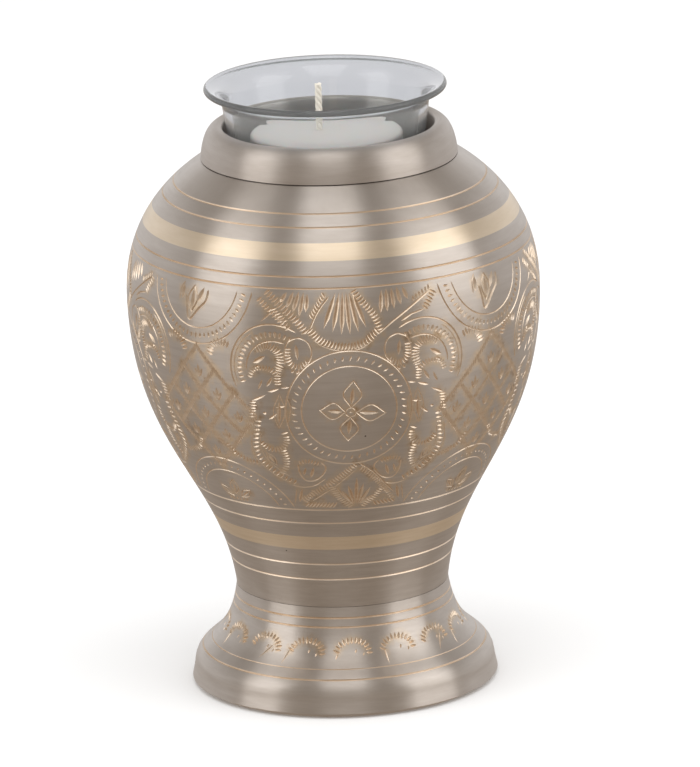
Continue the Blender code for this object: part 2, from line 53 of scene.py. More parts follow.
import bmesh
import bpy
import numpy as np
from mathutils import Matrix, Quaternion, Vector
from mathutils.geometry import delaunay_2d_cdt, interpolate_bezier
from mathutils.kdtree import KDTree

MM = 0.001

# %% [markdown]
# ## Outlines
#
# Everything on this urn except the wick's twist and the engraving is turned, so the most important thing
# is the outline that the turner followed. A Bezier curve between the waist, the belly and the shoulder is
# enough, with handles given as shares of the rise. The seats and the rims come from the boxes of the
# solids.

# %% Sizes read from the frame
body_low, body_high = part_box("body")
foot_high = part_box("foot")[1]
lid_low, lid_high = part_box("lid")
cup_low, cup_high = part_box("glass_cup")
candle_low, candle_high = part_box("candle")
wick_low, wick_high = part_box("wick")

FIT_GAP = 0.3 * MM
JOINT_LINE = 0.1 * MM
NECK_HEIGHT = 3.9 * MM
BELLY = Vector((51.53 * MM, 101.40 * MM))
WAIST = Vector((26.59 * MM, foot_high.z + FIT_GAP))
SHOULDER = Vector((32.0 * MM, body_high.z - NECK_HEIGHT))
RIM_WIDEST = Vector((38.42 * MM, 1.2 * MM))
RIM_TOP = Vector((37.76 * MM, 4.3 * MM))
print("belly %.2f mm, waist %.2f mm, shoulder %.2f mm" % (BELLY.x / MM, WAIST.x / MM, SHOULDER.x / MM))


# %% An outline that can be read by the distance along it
class Outline:
    """A turned outline of (radius, height) points, from its low end to its high end."""

    def __init__(self, points):
        self.points = np.array([tuple(point) for point in points])
        steps = np.linalg.norm(np.diff(self.points, axis=0), axis=1)
        self.along = np.concatenate(([0.0], np.cumsum(steps)))
        self.length = self.along[-1]

    def at(self, distance):
        """Radius and height at a distance."""
        radius = np.interp(distance, self.along, self.points[:, 0])
        height = np.interp(distance, self.along, self.points[:, 1])
        return np.stack((radius, height), axis=-1)

    def outward(self, distance):
        """The direction out of the surface at a distance, smooth over the samples."""
        span = 0.4 * MM
        run = self.at(np.add(distance, span)) - self.at(np.subtract(distance, span))
        run /= np.linalg.norm(run, axis=-1, keepdims=True)
        return np.stack((run[..., 1], -run[..., 0]), axis=-1)


def tilted(length, degrees_from_vertical):
    """A handle that points down and outward."""
    angle = radians(degrees_from_vertical)
    return Vector((length * sin(angle), -length * cos(angle)))


SAMPLES = 240
low_rise = BELLY.y - WAIST.y
high_rise = SHOULDER.y - BELLY.y
below_belly = interpolate_bezier(WAIST, WAIST - tilted(0.378 * low_rise, -6.9),
                                 BELLY - Vector((0, 0.514 * low_rise)), BELLY, SAMPLES)
above_belly = interpolate_bezier(BELLY, BELLY + Vector((0, 0.443 * high_rise)),
                                 SHOULDER + tilted(0.425 * high_rise, 58.5), SHOULDER, SAMPLES)
body_outline = Outline(below_belly + above_belly[1:])

throat = Vector((WAIST.x, WAIST.y - JOINT_LINE))
foot_rise = throat.y - RIM_TOP.y
flare = interpolate_bezier(RIM_TOP, RIM_TOP - tilted(0.383 * foot_rise, 1.9),
                           throat + tilted(0.80 * foot_rise, 7.6), throat, SAMPLES)
foot_outline = Outline([RIM_WIDEST] + flare)
print("outlines: body %.1f mm, foot %.1f mm" % (body_outline.length / MM, foot_outline.length / MM))

# %% [markdown]
# ## Nodes that turn and roll
#
# A lathe is a rule: every point of the outline goes once around the axis. That rule is a small Geometry
# Nodes tree here. A second tree takes a flat drawing of the engraved belt and rolls it onto the same
# outline, so that a groove drawn on paper ends up in the metal. Both trees end with the materials, and
# both are turned into plain meshes.


# %% A short way to write node trees
def new_tree(name, kind, inputs, outputs):
    """A node tree with named sockets, given as (name, socket type, default)."""
    tree = bpy.data.node_groups.new(name, kind)
    for label, socket_type, default in inputs:
        socket = tree.interface.new_socket(label, in_out="INPUT", socket_type=socket_type)
        if default is not None:
            socket.default_value = default
    for label, socket_type in outputs:
        tree.interface.new_socket(label, in_out="OUTPUT", socket_type=socket_type)
    return tree


def add_node(tree, kind, settings=None, **links):
    """Add a node. Each link is a socket or a plain value, by the input's name or its number (in0, in1)."""
    node = tree.nodes.new(kind)
    for key, value in (settings or {}).items():
        setattr(node, key, value)
    for key, value in links.items():
        if key.startswith("in") and key[2:].isdigit():
            socket = node.inputs[int(key[2:])]
        else:
            socket = node.inputs[key.replace("_", " ")]
        if isinstance(value, bpy.types.NodeSocket):
            tree.links.new(value, socket)
        else:
            socket.default_value = value
    return node


def maths(tree, operation, first, second=0.0, third=0.0):
    """The output of one Math node."""
    node = add_node(tree, "ShaderNodeMath", {"operation": operation}, in0=first, in1=second, in2=third)
    return node.outputs[0]


def put_out(tree, *values):
    """Join values to the outputs of a tree, in their order."""
    out = tree.nodes.new("NodeGroupOutput")
    for value, socket in zip(values, out.inputs):
        tree.links.new(value, socket)


def around_axis(tree, radius, azimuth, height):
    """A place at an azimuth, which counts from the front towards +X."""
    x = maths(tree, "MULTIPLY", radius, maths(tree, "SINE", azimuth))
    y = maths(tree, "MULTIPLY", radius, maths(tree, "MULTIPLY", maths(tree, "COSINE", azimuth), -1.0))
    return add_node(tree, "ShaderNodeCombineXYZ", None, X=x, Y=y, Z=height).outputs[0]


def named(tree, label, kind="FLOAT"):
    """A stored attribute as a field."""
    return add_node(tree, "GeometryNodeInputNamedAttribute", {"data_type": kind}, Name=label).outputs[0]


def dressed(tree, geometry, group_in):
    """The end of a tree: real geometry, smooth, with a material for each kind of finish."""
    real = add_node(tree, "GeometryNodeRealizeInstances", None, Geometry=geometry).outputs[0]
    smooth = add_node(tree, "GeometryNodeSetShadeSmooth", None, Geometry=real).outputs[0]
    kind = named(tree, "finish", "INT")
    last = smooth
    for number, label in enumerate(("Plain", "Cut", "Band")):
        chosen = add_node(tree, "FunctionNodeCompare", {"data_type": "INT", "operation": "EQUAL"})
        tree.links.new(kind, chosen.inputs[2])
        chosen.inputs[3].default_value = number
        last = add_node(tree, "GeometryNodeSetMaterial", None, Geometry=last, Selection=chosen.outputs[0],
                        Material=group_in.outputs[label]).outputs[0]
    return last


FINISH_SOCKETS = [("Plain", "NodeSocketMaterial", None), ("Cut", "NodeSocketMaterial", None),
                  ("Band", "NodeSocketMaterial", None)]


# %% The lathe: an outline in the XZ plane goes once around the Z axis
POLE_WELD = 0.0005 * MM


def lathe_tree():
    tree = new_tree("lathe", "GeometryNodeTree",
                    [("Outline", "NodeSocketGeometry", None), ("Steps", "NodeSocketInt", 96),
                     *FINISH_SOCKETS], [("Geometry", "NodeSocketGeometry")])
    group_in = tree.nodes.new("NodeGroupInput")
    outline = group_in.outputs["Outline"]
    count = add_node(tree, "GeometryNodeAttributeDomainSize", {"component": "MESH"},
                     Geometry=outline).outputs[0]
    columns = maths(tree, "ADD", group_in.outputs["Steps"], 1.0)
    grid = add_node(tree, "GeometryNodeMeshGrid", None, Vertices_X=columns, Vertices_Y=count).outputs[0]
    index = tree.nodes.new("GeometryNodeInputIndex").outputs[0]
    row = maths(tree, "MODULO", index, count)
    column = maths(tree, "FLOOR", maths(tree, "DIVIDE", index, count))
    azimuth = maths(tree, "MULTIPLY", maths(tree, "DIVIDE", column, group_in.outputs["Steps"]), 2 * pi)
    position = tree.nodes.new("GeometryNodeInputPosition").outputs[0]
    there = add_node(tree, "GeometryNodeSampleIndex", {"data_type": "FLOAT_VECTOR", "domain": "POINT"},
                     Geometry=outline, Value=position, Index=row).outputs[0]
    parts = add_node(tree, "ShaderNodeSeparateXYZ", None, Vector=there)
    place = around_axis(tree, parts.outputs[0], azimuth, parts.outputs[2])
    turned = add_node(tree, "GeometryNodeSetPosition", None, Geometry=grid, Position=place).outputs[0]
    face_row = maths(tree, "MODULO", index, maths(tree, "SUBTRACT", count, 1.0))
    kind = add_node(tree, "GeometryNodeSampleIndex", {"data_type": "INT", "domain": "POINT"},
                    Geometry=outline, Value=named(tree, "finish_above", "INT"), Index=face_row).outputs[0]
    marked = add_node(tree, "GeometryNodeStoreNamedAttribute", {"data_type": "INT", "domain": "FACE"},
                      Geometry=turned, Name="finish", Value=kind).outputs[0]
    merged = add_node(tree, "GeometryNodeMergeByDistance", None, Geometry=marked,
                      Distance=POLE_WELD).outputs[0]
    put_out(tree, dressed(tree, merged, group_in))
    return tree


# %% The roll: a flat belt, laid out as (azimuth times a radius, distance along), goes onto an outline
def roll_tree():
    tree = new_tree("roll onto outline", "GeometryNodeTree",
                    [("Belt", "NodeSocketGeometry", None), ("Outline", "NodeSocketObject", None),
                     ("Flat radius", "NodeSocketFloat", 0.05)] + FINISH_SOCKETS,
                    [("Geometry", "NodeSocketGeometry")])
    group_in = tree.nodes.new("NodeGroupInput")
    shape = add_node(tree, "GeometryNodeObjectInfo", None, Object=group_in.outputs["Outline"])
    curve = add_node(tree, "GeometryNodeMeshToCurve", None, Mesh=shape.outputs["Geometry"]).outputs[0]
    position = tree.nodes.new("GeometryNodeInputPosition").outputs[0]
    flat = add_node(tree, "ShaderNodeSeparateXYZ", None, Vector=position)
    sample = add_node(tree, "GeometryNodeSampleCurve", {"mode": "LENGTH", "use_all_curves": True},
                      Curves=curve, Length=flat.outputs[1])
    spot = add_node(tree, "ShaderNodeSeparateXYZ", None, Vector=sample.outputs["Position"])
    run = add_node(tree, "ShaderNodeSeparateXYZ", None, Vector=sample.outputs["Tangent"])
    radius = maths(tree, "MULTIPLY_ADD", run.outputs[2], flat.outputs[2], spot.outputs[0])
    sunk = maths(tree, "MULTIPLY", run.outputs[0], flat.outputs[2])
    height = maths(tree, "SUBTRACT", spot.outputs[2], sunk)
    azimuth = maths(tree, "DIVIDE", flat.outputs[0], group_in.outputs["Flat radius"])
    rolled = add_node(tree, "GeometryNodeSetPosition", None, Geometry=group_in.outputs["Belt"],
                      Position=around_axis(tree, radius, azimuth, height)).outputs[0]
    put_out(tree, dressed(tree, rolled, group_in))
    return tree


LATHE = lathe_tree()
ROLL = roll_tree()


# %% Run a tree once and keep its result as a plain mesh
PLAIN, CUT, BAND = 0, 1, 2


def grown(name, data, tree, **values):
    """The mesh that a tree makes from a mesh, with the tree's inputs set by their names."""
    holder = bpy.data.objects.new(name, data)
    bpy.context.collection.objects.link(holder)
    modifier = holder.modifiers.new(name, "NODES")
    modifier.node_group = tree
    identifiers = {item.name.replace(" ", "_"): item.identifier for item in tree.interface.items_tree
                   if item.in_out == "INPUT"}
    for label, value in values.items():
        modifier[identifiers[label]] = value
    depsgraph = bpy.context.evaluated_depsgraph_get()
    result = bpy.data.meshes.new_from_object(holder.evaluated_get(depsgraph), preserve_all_data_layers=True,
                                             depsgraph=depsgraph)
    bpy.data.objects.remove(holder)
    return result


def polyline(name, points, finishes=None):
    """A mesh of one open line in the XZ plane, with the finish of the stretch above each point."""
    data = bpy.data.meshes.new(name)
    verts = [(point[0], 0.0, point[1]) for point in points]
    data.from_pydata(verts, [(index, index + 1) for index in range(len(verts) - 1)], [])
    attribute = data.attributes.new("finish_above", "INT", "POINT")
    attribute.data.foreach_set("value", finishes or [PLAIN] * len(verts))
    return data


# %% [markdown]
# ## Finishes
#
# The plating is brushed on the lathe, so its scratches run around the urn. Light that falls on such a
# surface spreads across the scratches, which is why the reflections of the lamps become tall bright
# stripes. The shader does that with anisotropy, and a node group adds the scratches themselves. The lid's
# collar is a little duller than the body. Brass shows in the cuts and the bands, and through the plating
# where marks crowd together.


# %% Short ways to write materials
def new_material(name):
    """A material, with its tree and its shader."""
    material = bpy.data.materials.new(name)
    material.use_nodes = True
    return material, material.node_tree, material.node_tree.nodes["Principled BSDF"]


def noise(tree, place, scale, detail, roughness):
    """A cloudy value around one half."""
    node = add_node(tree, "ShaderNodeTexNoise", None, Vector=place, Scale=scale, Detail=detail,
                    Roughness=roughness)
    return node.outputs["Fac"]


def mapped(tree, value, low, high, to_low=0.0, to_high=1.0, kind="LINEAR"):
    """A value moved from one range to another and held at its ends."""
    node = add_node(tree, "ShaderNodeMapRange", {"interpolation_type": kind}, Value=value, in1=low, in2=high,
                    in3=to_low, in4=to_high)
    return node.outputs[0]


def blended(tree, share, first, second):
    """A colour between two, each a socket or plain red, green and blue."""
    first, second = [(*colour, 1.0) if isinstance(colour, tuple) else colour for colour in (first, second)]
    node = add_node(tree, "ShaderNodeMix", {"data_type": "RGBA"}, in0=share, in6=first, in7=second)
    return node.outputs[2]


def raise_grain(tree, shader, height, strength, distance):
    """Relief that is too fine for the mesh, from a height."""
    bump = add_node(tree, "ShaderNodeBump", None, Strength=strength, Distance=distance, Height=height)
    tree.links.new(bump.outputs[0], shader.inputs["Normal"])


# %% Brushing, shared by all metals
SLOPE_SHARE = 0.7
BROAD_RINGS = 900.0


def brushing_group():
    """Rings around the Z axis: a fine grain value and a soft streak value, both from 0 to 1."""
    tree = new_tree("lathe brushing", "ShaderNodeTree",
                    [("Rings", "NodeSocketFloat", 9000.0), ("Turns", "NodeSocketFloat", 6.0)],
                    [("Grain", "NodeSocketFloat"), ("Streak", "NodeSocketFloat")])
    group_in = tree.nodes.new("NodeGroupInput")
    place = tree.nodes.new("ShaderNodeTexCoord").outputs["Object"]
    parts = add_node(tree, "ShaderNodeSeparateXYZ", None, Vector=place)
    squares = maths(tree, "ADD", maths(tree, "POWER", parts.outputs[0], 2.0),
                    maths(tree, "POWER", parts.outputs[1], 2.0))
    radius = maths(tree, "MAXIMUM", maths(tree, "SQRT", squares), 0.1 * MM)
    around = [maths(tree, "MULTIPLY", maths(tree, "DIVIDE", part, radius), group_in.outputs["Turns"])
              for part in parts.outputs[:2]]
    across = maths(tree, "MULTIPLY_ADD", radius, SLOPE_SHARE, parts.outputs[2])
    fine = add_node(tree, "ShaderNodeCombineXYZ", None, X=around[0], Y=around[1],
                    Z=maths(tree, "MULTIPLY", across, group_in.outputs["Rings"])).outputs[0]
    broad = add_node(tree, "ShaderNodeCombineXYZ", None, X=maths(tree, "MULTIPLY", around[0], 0.5),
                     Y=maths(tree, "MULTIPLY", around[1], 0.5),
                     Z=maths(tree, "MULTIPLY", across, BROAD_RINGS)).outputs[0]
    put_out(tree, noise(tree, fine, 1.0, 2.0, 0.6), noise(tree, broad, 1.0, 4.0, 0.65))
    return tree


# %% Handling: dull patches and a few tiny dark pits
SPECK_RADIUS = 0.055
SPECK_RARITY = 0.985


def handling_group():
    """Soft patches from handling, and a mask of rare dark specks."""
    tree = new_tree("handling", "ShaderNodeTree",
                    [("Patch size", "NodeSocketFloat", 45.0), ("Speck size", "NodeSocketFloat", 260.0)],
                    [("Patches", "NodeSocketFloat"), ("Specks", "NodeSocketFloat")])
    group_in = tree.nodes.new("NodeGroupInput")
    place = tree.nodes.new("ShaderNodeTexCoord").outputs["Object"]
    patches = noise(tree, place, group_in.outputs["Patch size"], 3.0, 0.55)
    cells = add_node(tree, "ShaderNodeTexVoronoi", {"feature": "F1"}, Vector=place,
                     Scale=group_in.outputs["Speck size"])
    near = maths(tree, "LESS_THAN", cells.outputs["Distance"], SPECK_RADIUS)
    chance = add_node(tree, "ShaderNodeSeparateColor", None, Color=cells.outputs["Color"]).outputs[0]
    rare = maths(tree, "GREATER_THAN", chance, SPECK_RARITY)
    put_out(tree, patches, maths(tree, "MULTIPLY", near, rare))
    return tree


BRUSHING = brushing_group()
HANDLING = handling_group()


# %% One metal recipe, used for the plating, the cut brass and the polished bands
QUARTER_TURN = 0.25
PATCH_SHARE = 0.35
UNEVEN_LOW = 0.35
UNEVEN_HIGH = 0.65
PIT_COLOUR = (0.06, 0.045, 0.03)
GRAIN_STRENGTH = 0.35


def metal(name, colour, shade, roughness, spread, grain_depth, specks, anisotropy):
    """Brushed metal between two colours, with roughness that varies by spread and grain as bump."""
    material, tree, shader = new_material(name)
    shader.inputs["Metallic"].default_value = 1.0
    shader.inputs["Anisotropic"].default_value = anisotropy
    shader.inputs["Anisotropic Rotation"].default_value = QUARTER_TURN
    tangent = add_node(tree, "ShaderNodeTangent", {"direction_type": "RADIAL", "axis": "Z"}).outputs[0]
    tree.links.new(tangent, shader.inputs["Tangent"])
    brushed = add_node(tree, "ShaderNodeGroup", {"node_tree": BRUSHING}, Rings=9000.0, Turns=6.0)
    handled = add_node(tree, "ShaderNodeGroup", {"node_tree": HANDLING}, Patch_size=45.0, Speck_size=260.0)
    uneven = maths(tree, "MULTIPLY_ADD", handled.outputs["Patches"], PATCH_SHARE,
                   maths(tree, "MULTIPLY", brushed.outputs["Streak"], 1 - PATCH_SHARE))
    tone = blended(tree, mapped(tree, uneven, UNEVEN_LOW, UNEVEN_HIGH), shade, colour)
    pits = maths(tree, "MULTIPLY", handled.outputs["Specks"], specks)
    tree.links.new(blended(tree, pits, tone, PIT_COLOUR), shader.inputs["Base Color"])
    grain = brushed.outputs["Grain"]
    varied = maths(tree, "MULTIPLY_ADD", maths(tree, "SUBTRACT", grain, 0.5), spread, roughness)
    tree.links.new(varied, shader.inputs["Roughness"])
    raise_grain(tree, shader, grain, GRAIN_STRENGTH, grain_depth)
    return material


PEWTER = metal("brushed pewter", colour=(0.64, 0.588, 0.543), shade=(0.55, 0.497, 0.450), roughness=0.36,
               spread=0.16, grain_depth=0.004 * MM, specks=0.9, anisotropy=0.95)
CUT_BRASS = metal("cut brass", colour=(0.93, 0.80, 0.67), shade=(0.72, 0.57, 0.42), roughness=0.36,
                  spread=0.10, grain_depth=0.002 * MM, specks=0.0, anisotropy=0.0)
BAND_BRASS = metal("band brass", colour=(0.90, 0.77, 0.61), shade=(0.81, 0.68, 0.51), roughness=0.36,
                   spread=0.12, grain_depth=0.003 * MM, specks=0.4, anisotropy=0.90)
COLLAR_PEWTER = metal("satin pewter", colour=(0.64, 0.59, 0.55), shade=(0.56, 0.508, 0.462), roughness=0.43,
                      spread=0.16, grain_depth=0.004 * MM, specks=0.9, anisotropy=0.90)
FINISHES = {"Plain": PEWTER, "Cut": CUT_BRASS, "Band": BAND_BRASS}
COLLAR_SET = {"Plain": COLLAR_PEWTER, "Cut": CUT_BRASS, "Band": BAND_BRASS}


# %% Plating that is worn thin where marks crowd together
THIN_PLATING = (0.72, 0.575, 0.415)
STAIN = (0.40, 0.26, 0.14)
CLOUD_SCALE = 420.0
BLOT_SCALE = 170.0


def wear_down(material, thin_colour, stain_colour):
    """Let brass through where the mesh's wear attribute is high, with a few dark stains in it."""
    tree = material.node_tree
    base = tree.nodes["Principled BSDF"].inputs["Base Color"]
    plating = base.links[0].from_socket
    wear = add_node(tree, "ShaderNodeAttribute", {"attribute_name": "wear"}).outputs["Fac"]
    place = tree.nodes.new("ShaderNodeTexCoord").outputs["Object"]
    clouds = mapped(tree, noise(tree, place, CLOUD_SCALE, 3.0, 0.6), 0.40, 0.62, to_low=0.28, to_high=0.95)
    blots = mapped(tree, noise(tree, place, BLOT_SCALE, 4.0, 0.7), 0.56, 0.66, to_high=0.70)
    thinned = blended(tree, maths(tree, "MULTIPLY", wear, clouds), plating, thin_colour)
    stained = blended(tree, maths(tree, "MULTIPLY", wear, blots), thinned, stain_colour)
    tree.links.new(stained, base)


wear_down(PEWTER, THIN_PLATING, STAIN)


# %% Clear glass, wax and cotton
def clear_glass():
    """Soda glass with a faint pale veil: plain values, so it stays see-through wherever it is used."""
    material, _, shader = new_material("clear glass")
    shader.inputs["Base Color"].default_value = (0.94, 0.955, 0.955, 1.0)
    shader.inputs["Roughness"].default_value = 0.015
    shader.inputs["Transmission Weight"].default_value = 0.90
    shader.inputs["IOR"].default_value = 1.45
    return material


def candle_wax():
    """White wax: soft, a little milky, with faint flow marks."""
    material, tree, shader = new_material("white wax")
    shader.inputs["Subsurface Weight"].default_value = 0.35
    shader.inputs["Subsurface Scale"].default_value = 4 * MM
    place = tree.nodes.new("ShaderNodeTexCoord").outputs["Object"]
    clouds = noise(tree, place, 220.0, 4.0, 0.6)
    tone = blended(tree, clouds, (0.53, 0.505, 0.488), (0.63, 0.602, 0.580))
    tree.links.new(tone, shader.inputs["Base Color"])
    tree.links.new(maths(tree, "MULTIPLY_ADD", clouds, 0.2, 0.32), shader.inputs["Roughness"])
    raise_grain(tree, shader, clouds, 0.25, 0.05 * MM)
    return material


def wick_cotton():
    """Waxed cotton: cream fibres along the strands."""
    material, tree, shader = new_material("waxed cotton")
    shader.inputs["Sheen Weight"].default_value = 0.2
    place = tree.nodes.new("ShaderNodeTexCoord").outputs["Object"]
    stretched = add_node(tree, "ShaderNodeMapping", None, Vector=place, Scale=(6000.0, 6000.0, 900.0))
    fibres = noise(tree, stretched.outputs[0], 1.0, 3.0, 0.6)
    tone = blended(tree, fibres, (0.72, 0.66, 0.55), (0.93, 0.89, 0.81))
    tree.links.new(tone, shader.inputs["Base Color"])
    tree.links.new(maths(tree, "MULTIPLY_ADD", fibres, 0.25, 0.55), shader.inputs["Roughness"])
    raise_grain(tree, shader, fibres, 0.5, 0.03 * MM)
    return material


GLASS = clear_glass()
WAX = candle_wax()
COTTON = wick_cotton()
GLASS_SET = dict.fromkeys(FINISHES, GLASS)
WAX_SET = dict.fromkeys(FINISHES, WAX)
print("materials:", ", ".join(material.name for material in bpy.data.materials if material.use_nodes))

# %% [markdown]
# ## Drawing with a graver
#
# A graver makes three kinds of mark: a long line, a single push that is pointed at both ends, and a row
# of short pushes across a path. The rows are by far the most, and they follow a rule, so a Geometry Nodes
# tree makes them: it walks along each path, puts a push across it at every pitch, and makes each one
# slightly uneven, as a hand does. Drawings are in millimetres on a flat sheet.

# %% Rows of pushes along paths
def rows_tree():
    """A short line across each path at every pitch, with the lean, reach and width stored on the path."""
    tree = new_tree("rows of pushes", "GeometryNodeTree",
                    [("Paths", "NodeSocketGeometry", None), ("Unevenness", "NodeSocketFloat", 0.1),
                     ("Seed", "NodeSocketInt", 4), ("Material", "NodeSocketMaterial", None)],
                    [("Geometry", "NodeSocketGeometry")])
    group_in = tree.nodes.new("NodeGroupInput")

    def wobble(number, around):
        """A value around 1 or 0 that differs from push to push."""
        seed = maths(tree, "ADD", group_in.outputs["Seed"], float(number))
        node = add_node(tree, "FunctionNodeRandomValue", {"data_type": "FLOAT"}, Seed=seed)
        node.inputs[2].default_value = -1.0
        node.inputs[3].default_value = 1.0
        return maths(tree, "MULTIPLY_ADD", node.outputs[1], group_in.outputs["Unevenness"], around)

    curves = add_node(tree, "GeometryNodeMeshToCurve", None, Mesh=group_in.outputs["Paths"]).outputs[0]
    walked = add_node(tree, "GeometryNodeResampleCurve", {"mode": "LENGTH"}, Curve=curves,
                      Length=named(tree, "pitch")).outputs[0]
    tangent = tree.nodes.new("GeometryNodeInputTangent").outputs[0]
    run = add_node(tree, "ShaderNodeSeparateXYZ", None, Vector=tangent)
    heading = maths(tree, "ARCTAN2", run.outputs[1], run.outputs[0])
    turn = maths(tree, "ADD", heading, maths(tree, "ADD", named(tree, "lean"), wobble(1, 0.0)))
    reach = maths(tree, "MULTIPLY", named(tree, "reach"), wobble(2, 1.0))
    width = maths(tree, "MULTIPLY", named(tree, "width"), wobble(3, 1.0))
    marked = walked
    for label, value in (("turn", turn), ("reach", reach), ("width", width)):
        marked = add_node(tree, "GeometryNodeStoreNamedAttribute", {"data_type": "FLOAT", "domain": "POINT"},
                          Geometry=marked, Name=label, Value=value).outputs[0]
    points = add_node(tree, "GeometryNodeCurveToPoints", {"mode": "EVALUATED"}, Curve=marked).outputs[0]
    push = add_node(tree, "GeometryNodeMeshLine", {"mode": "OFFSET"}, Count=2,
                    Start_Location=(-0.5, 0.0, 0.0), Offset=(1.0, 0.0, 0.0)).outputs[0]
    rotation = add_node(tree, "ShaderNodeCombineXYZ", None, Z=named(tree, "turn")).outputs[0]
    scale = add_node(tree, "ShaderNodeCombineXYZ", None, X=named(tree, "reach"), Y=1.0, Z=1.0).outputs[0]
    placed = add_node(tree, "GeometryNodeInstanceOnPoints", None, Points=points, Instance=push,
                      Rotation=rotation, Scale=scale).outputs[0]
    real = add_node(tree, "GeometryNodeRealizeInstances", None, Geometry=placed).outputs[0]
    last = add_node(tree, "GeometryNodeSetMaterial", None, Geometry=real,
                    Material=group_in.outputs["Material"]).outputs[0]
    put_out(tree, last)
    return tree


ROWS = rows_tree()


# %% A drawing collects lines, pushes and the paths of rows
class Drawing:
    """Marks on a flat sheet in millimetres, x to the right and y up."""

    def __init__(self):
        self.lines = []
        self.pushes = []
        self.rows = []

    def line(self, path, width=0.42, closed=False):
        """One long groove along a path."""
        self.lines.append((list(path), width, closed))

    def push(self, start, end, width=0.8):
        """A single push of the graver."""
        self.pushes.append((start, end, width))

    def row(self, path, pitch=0.8, reach=1.8, lean=90, width=0.62, closed=False):
        """Short pushes across a path."""
        self.rows.append((list(path), pitch, reach, radians(lean), width, closed))

    def add(self, other, mirror=False, shift=(0.0, 0.0)):
        """Take in another drawing, mirrored about x = 0 if asked, then moved."""
        side = -1 if mirror else 1

        def moved(point):
            return side * point[0] + shift[0], point[1] + shift[1]

        for path, width, closed in other.lines:
            self.lines.append(([moved(point) for point in path], width, closed))
        for start, end, width in other.pushes:
            self.pushes.append((moved(start), moved(end), width))
        for path, pitch, reach, lean, width, closed in other.rows:
            self.rows.append(([moved(point) for point in path], pitch, reach, side * lean, width, closed))


# %% Curves to draw along
def arc(centre, radius, start, end, spacing=0.9):
    """Points on an arc, with its angles in degrees from +X towards +Y."""
    count = max(3, int(abs(radians(end - start)) * radius / spacing) + 1)
    angles = np.radians(np.linspace(start, end, count))
    return [(centre[0] + radius * cos(angle), centre[1] + radius * sin(angle)) for angle in angles]


def ring(centre, radius, spacing=0.9):
    """Points all the way round a circle."""
    return arc(centre, radius, 0, 360, spacing)[:-1]


def smooth(points, per_span=5):
    """A smooth path through a few points."""
    ends = [2 * Vector(points[0]) - Vector(points[1])] + [Vector(point) for point in points]
    ends.append(2 * Vector(points[-1]) - Vector(points[-2]))
    path = []
    for before, low, high, after in zip(ends, ends[1:], ends[2:], ends[3:]):
        run = interpolate_bezier(low, low + (high - before) / 6, high - (after - low) / 6, high, per_span + 1)
        path += [tuple(point) for point in run[:-1]]
    return path + [tuple(points[-1])]


def petal(base, tip, bulge, share=0.5):
    """The two sides of a pointed leaf, out to its tip and back to its base."""
    base, tip = Vector(base), Vector(tip)
    run = tip - base
    across = Vector((-run.y, run.x)).normalized() * bulge
    middle = base + run * share
    out = smooth([base, middle + across, tip], 6)
    back = smooth([tip, middle - across, base], 6)
    return out + back[1:-1]


# %% [markdown]
# ## The pattern
#
# The belt repeats four times around the belly. A medallion with a four-petalled flower faces each side,
# with a fan above, a leaf below, and scrolls with plumes and beads on both sides. Half medallions and a
# lattice fill the space between two panels. Each motif is a function, placed about the panel's middle
# line.


# %% The medallion and its flower
def medallion():
    sheet = Drawing()
    sheet.line(ring((0, 0), 15.8), 0.45, closed=True)
    sheet.line(ring((0, 0), 11.85), 0.40, closed=True)
    sheet.row(ring((0, 0), 13.8), pitch=1.97, reach=1.5, lean=70, width=0.55, closed=True)
    heart = (0.3, -0.5)
    for angle, reach in ((-5.5, 8.7), (84.5, 8.5), (174.5, 7.6), (264.5, 8.2)):
        way = Vector((cos(radians(angle)), sin(radians(angle))))
        base = Vector(heart) + way * 1.35
        sheet.line(petal(base, Vector(heart) + way * reach, 2.25, 0.48), 0.40, closed=True)
        sheet.push(tuple(base + way * 0.8), tuple(base + way * (reach - 3.2)), 1.15)
    sheet.line(ring(heart, 1.25, 0.5), 0.38, closed=True)
    sheet.push((heart[0] - 0.35, heart[1]), (heart[0] + 0.35, heart[1]), 0.35)
    return sheet


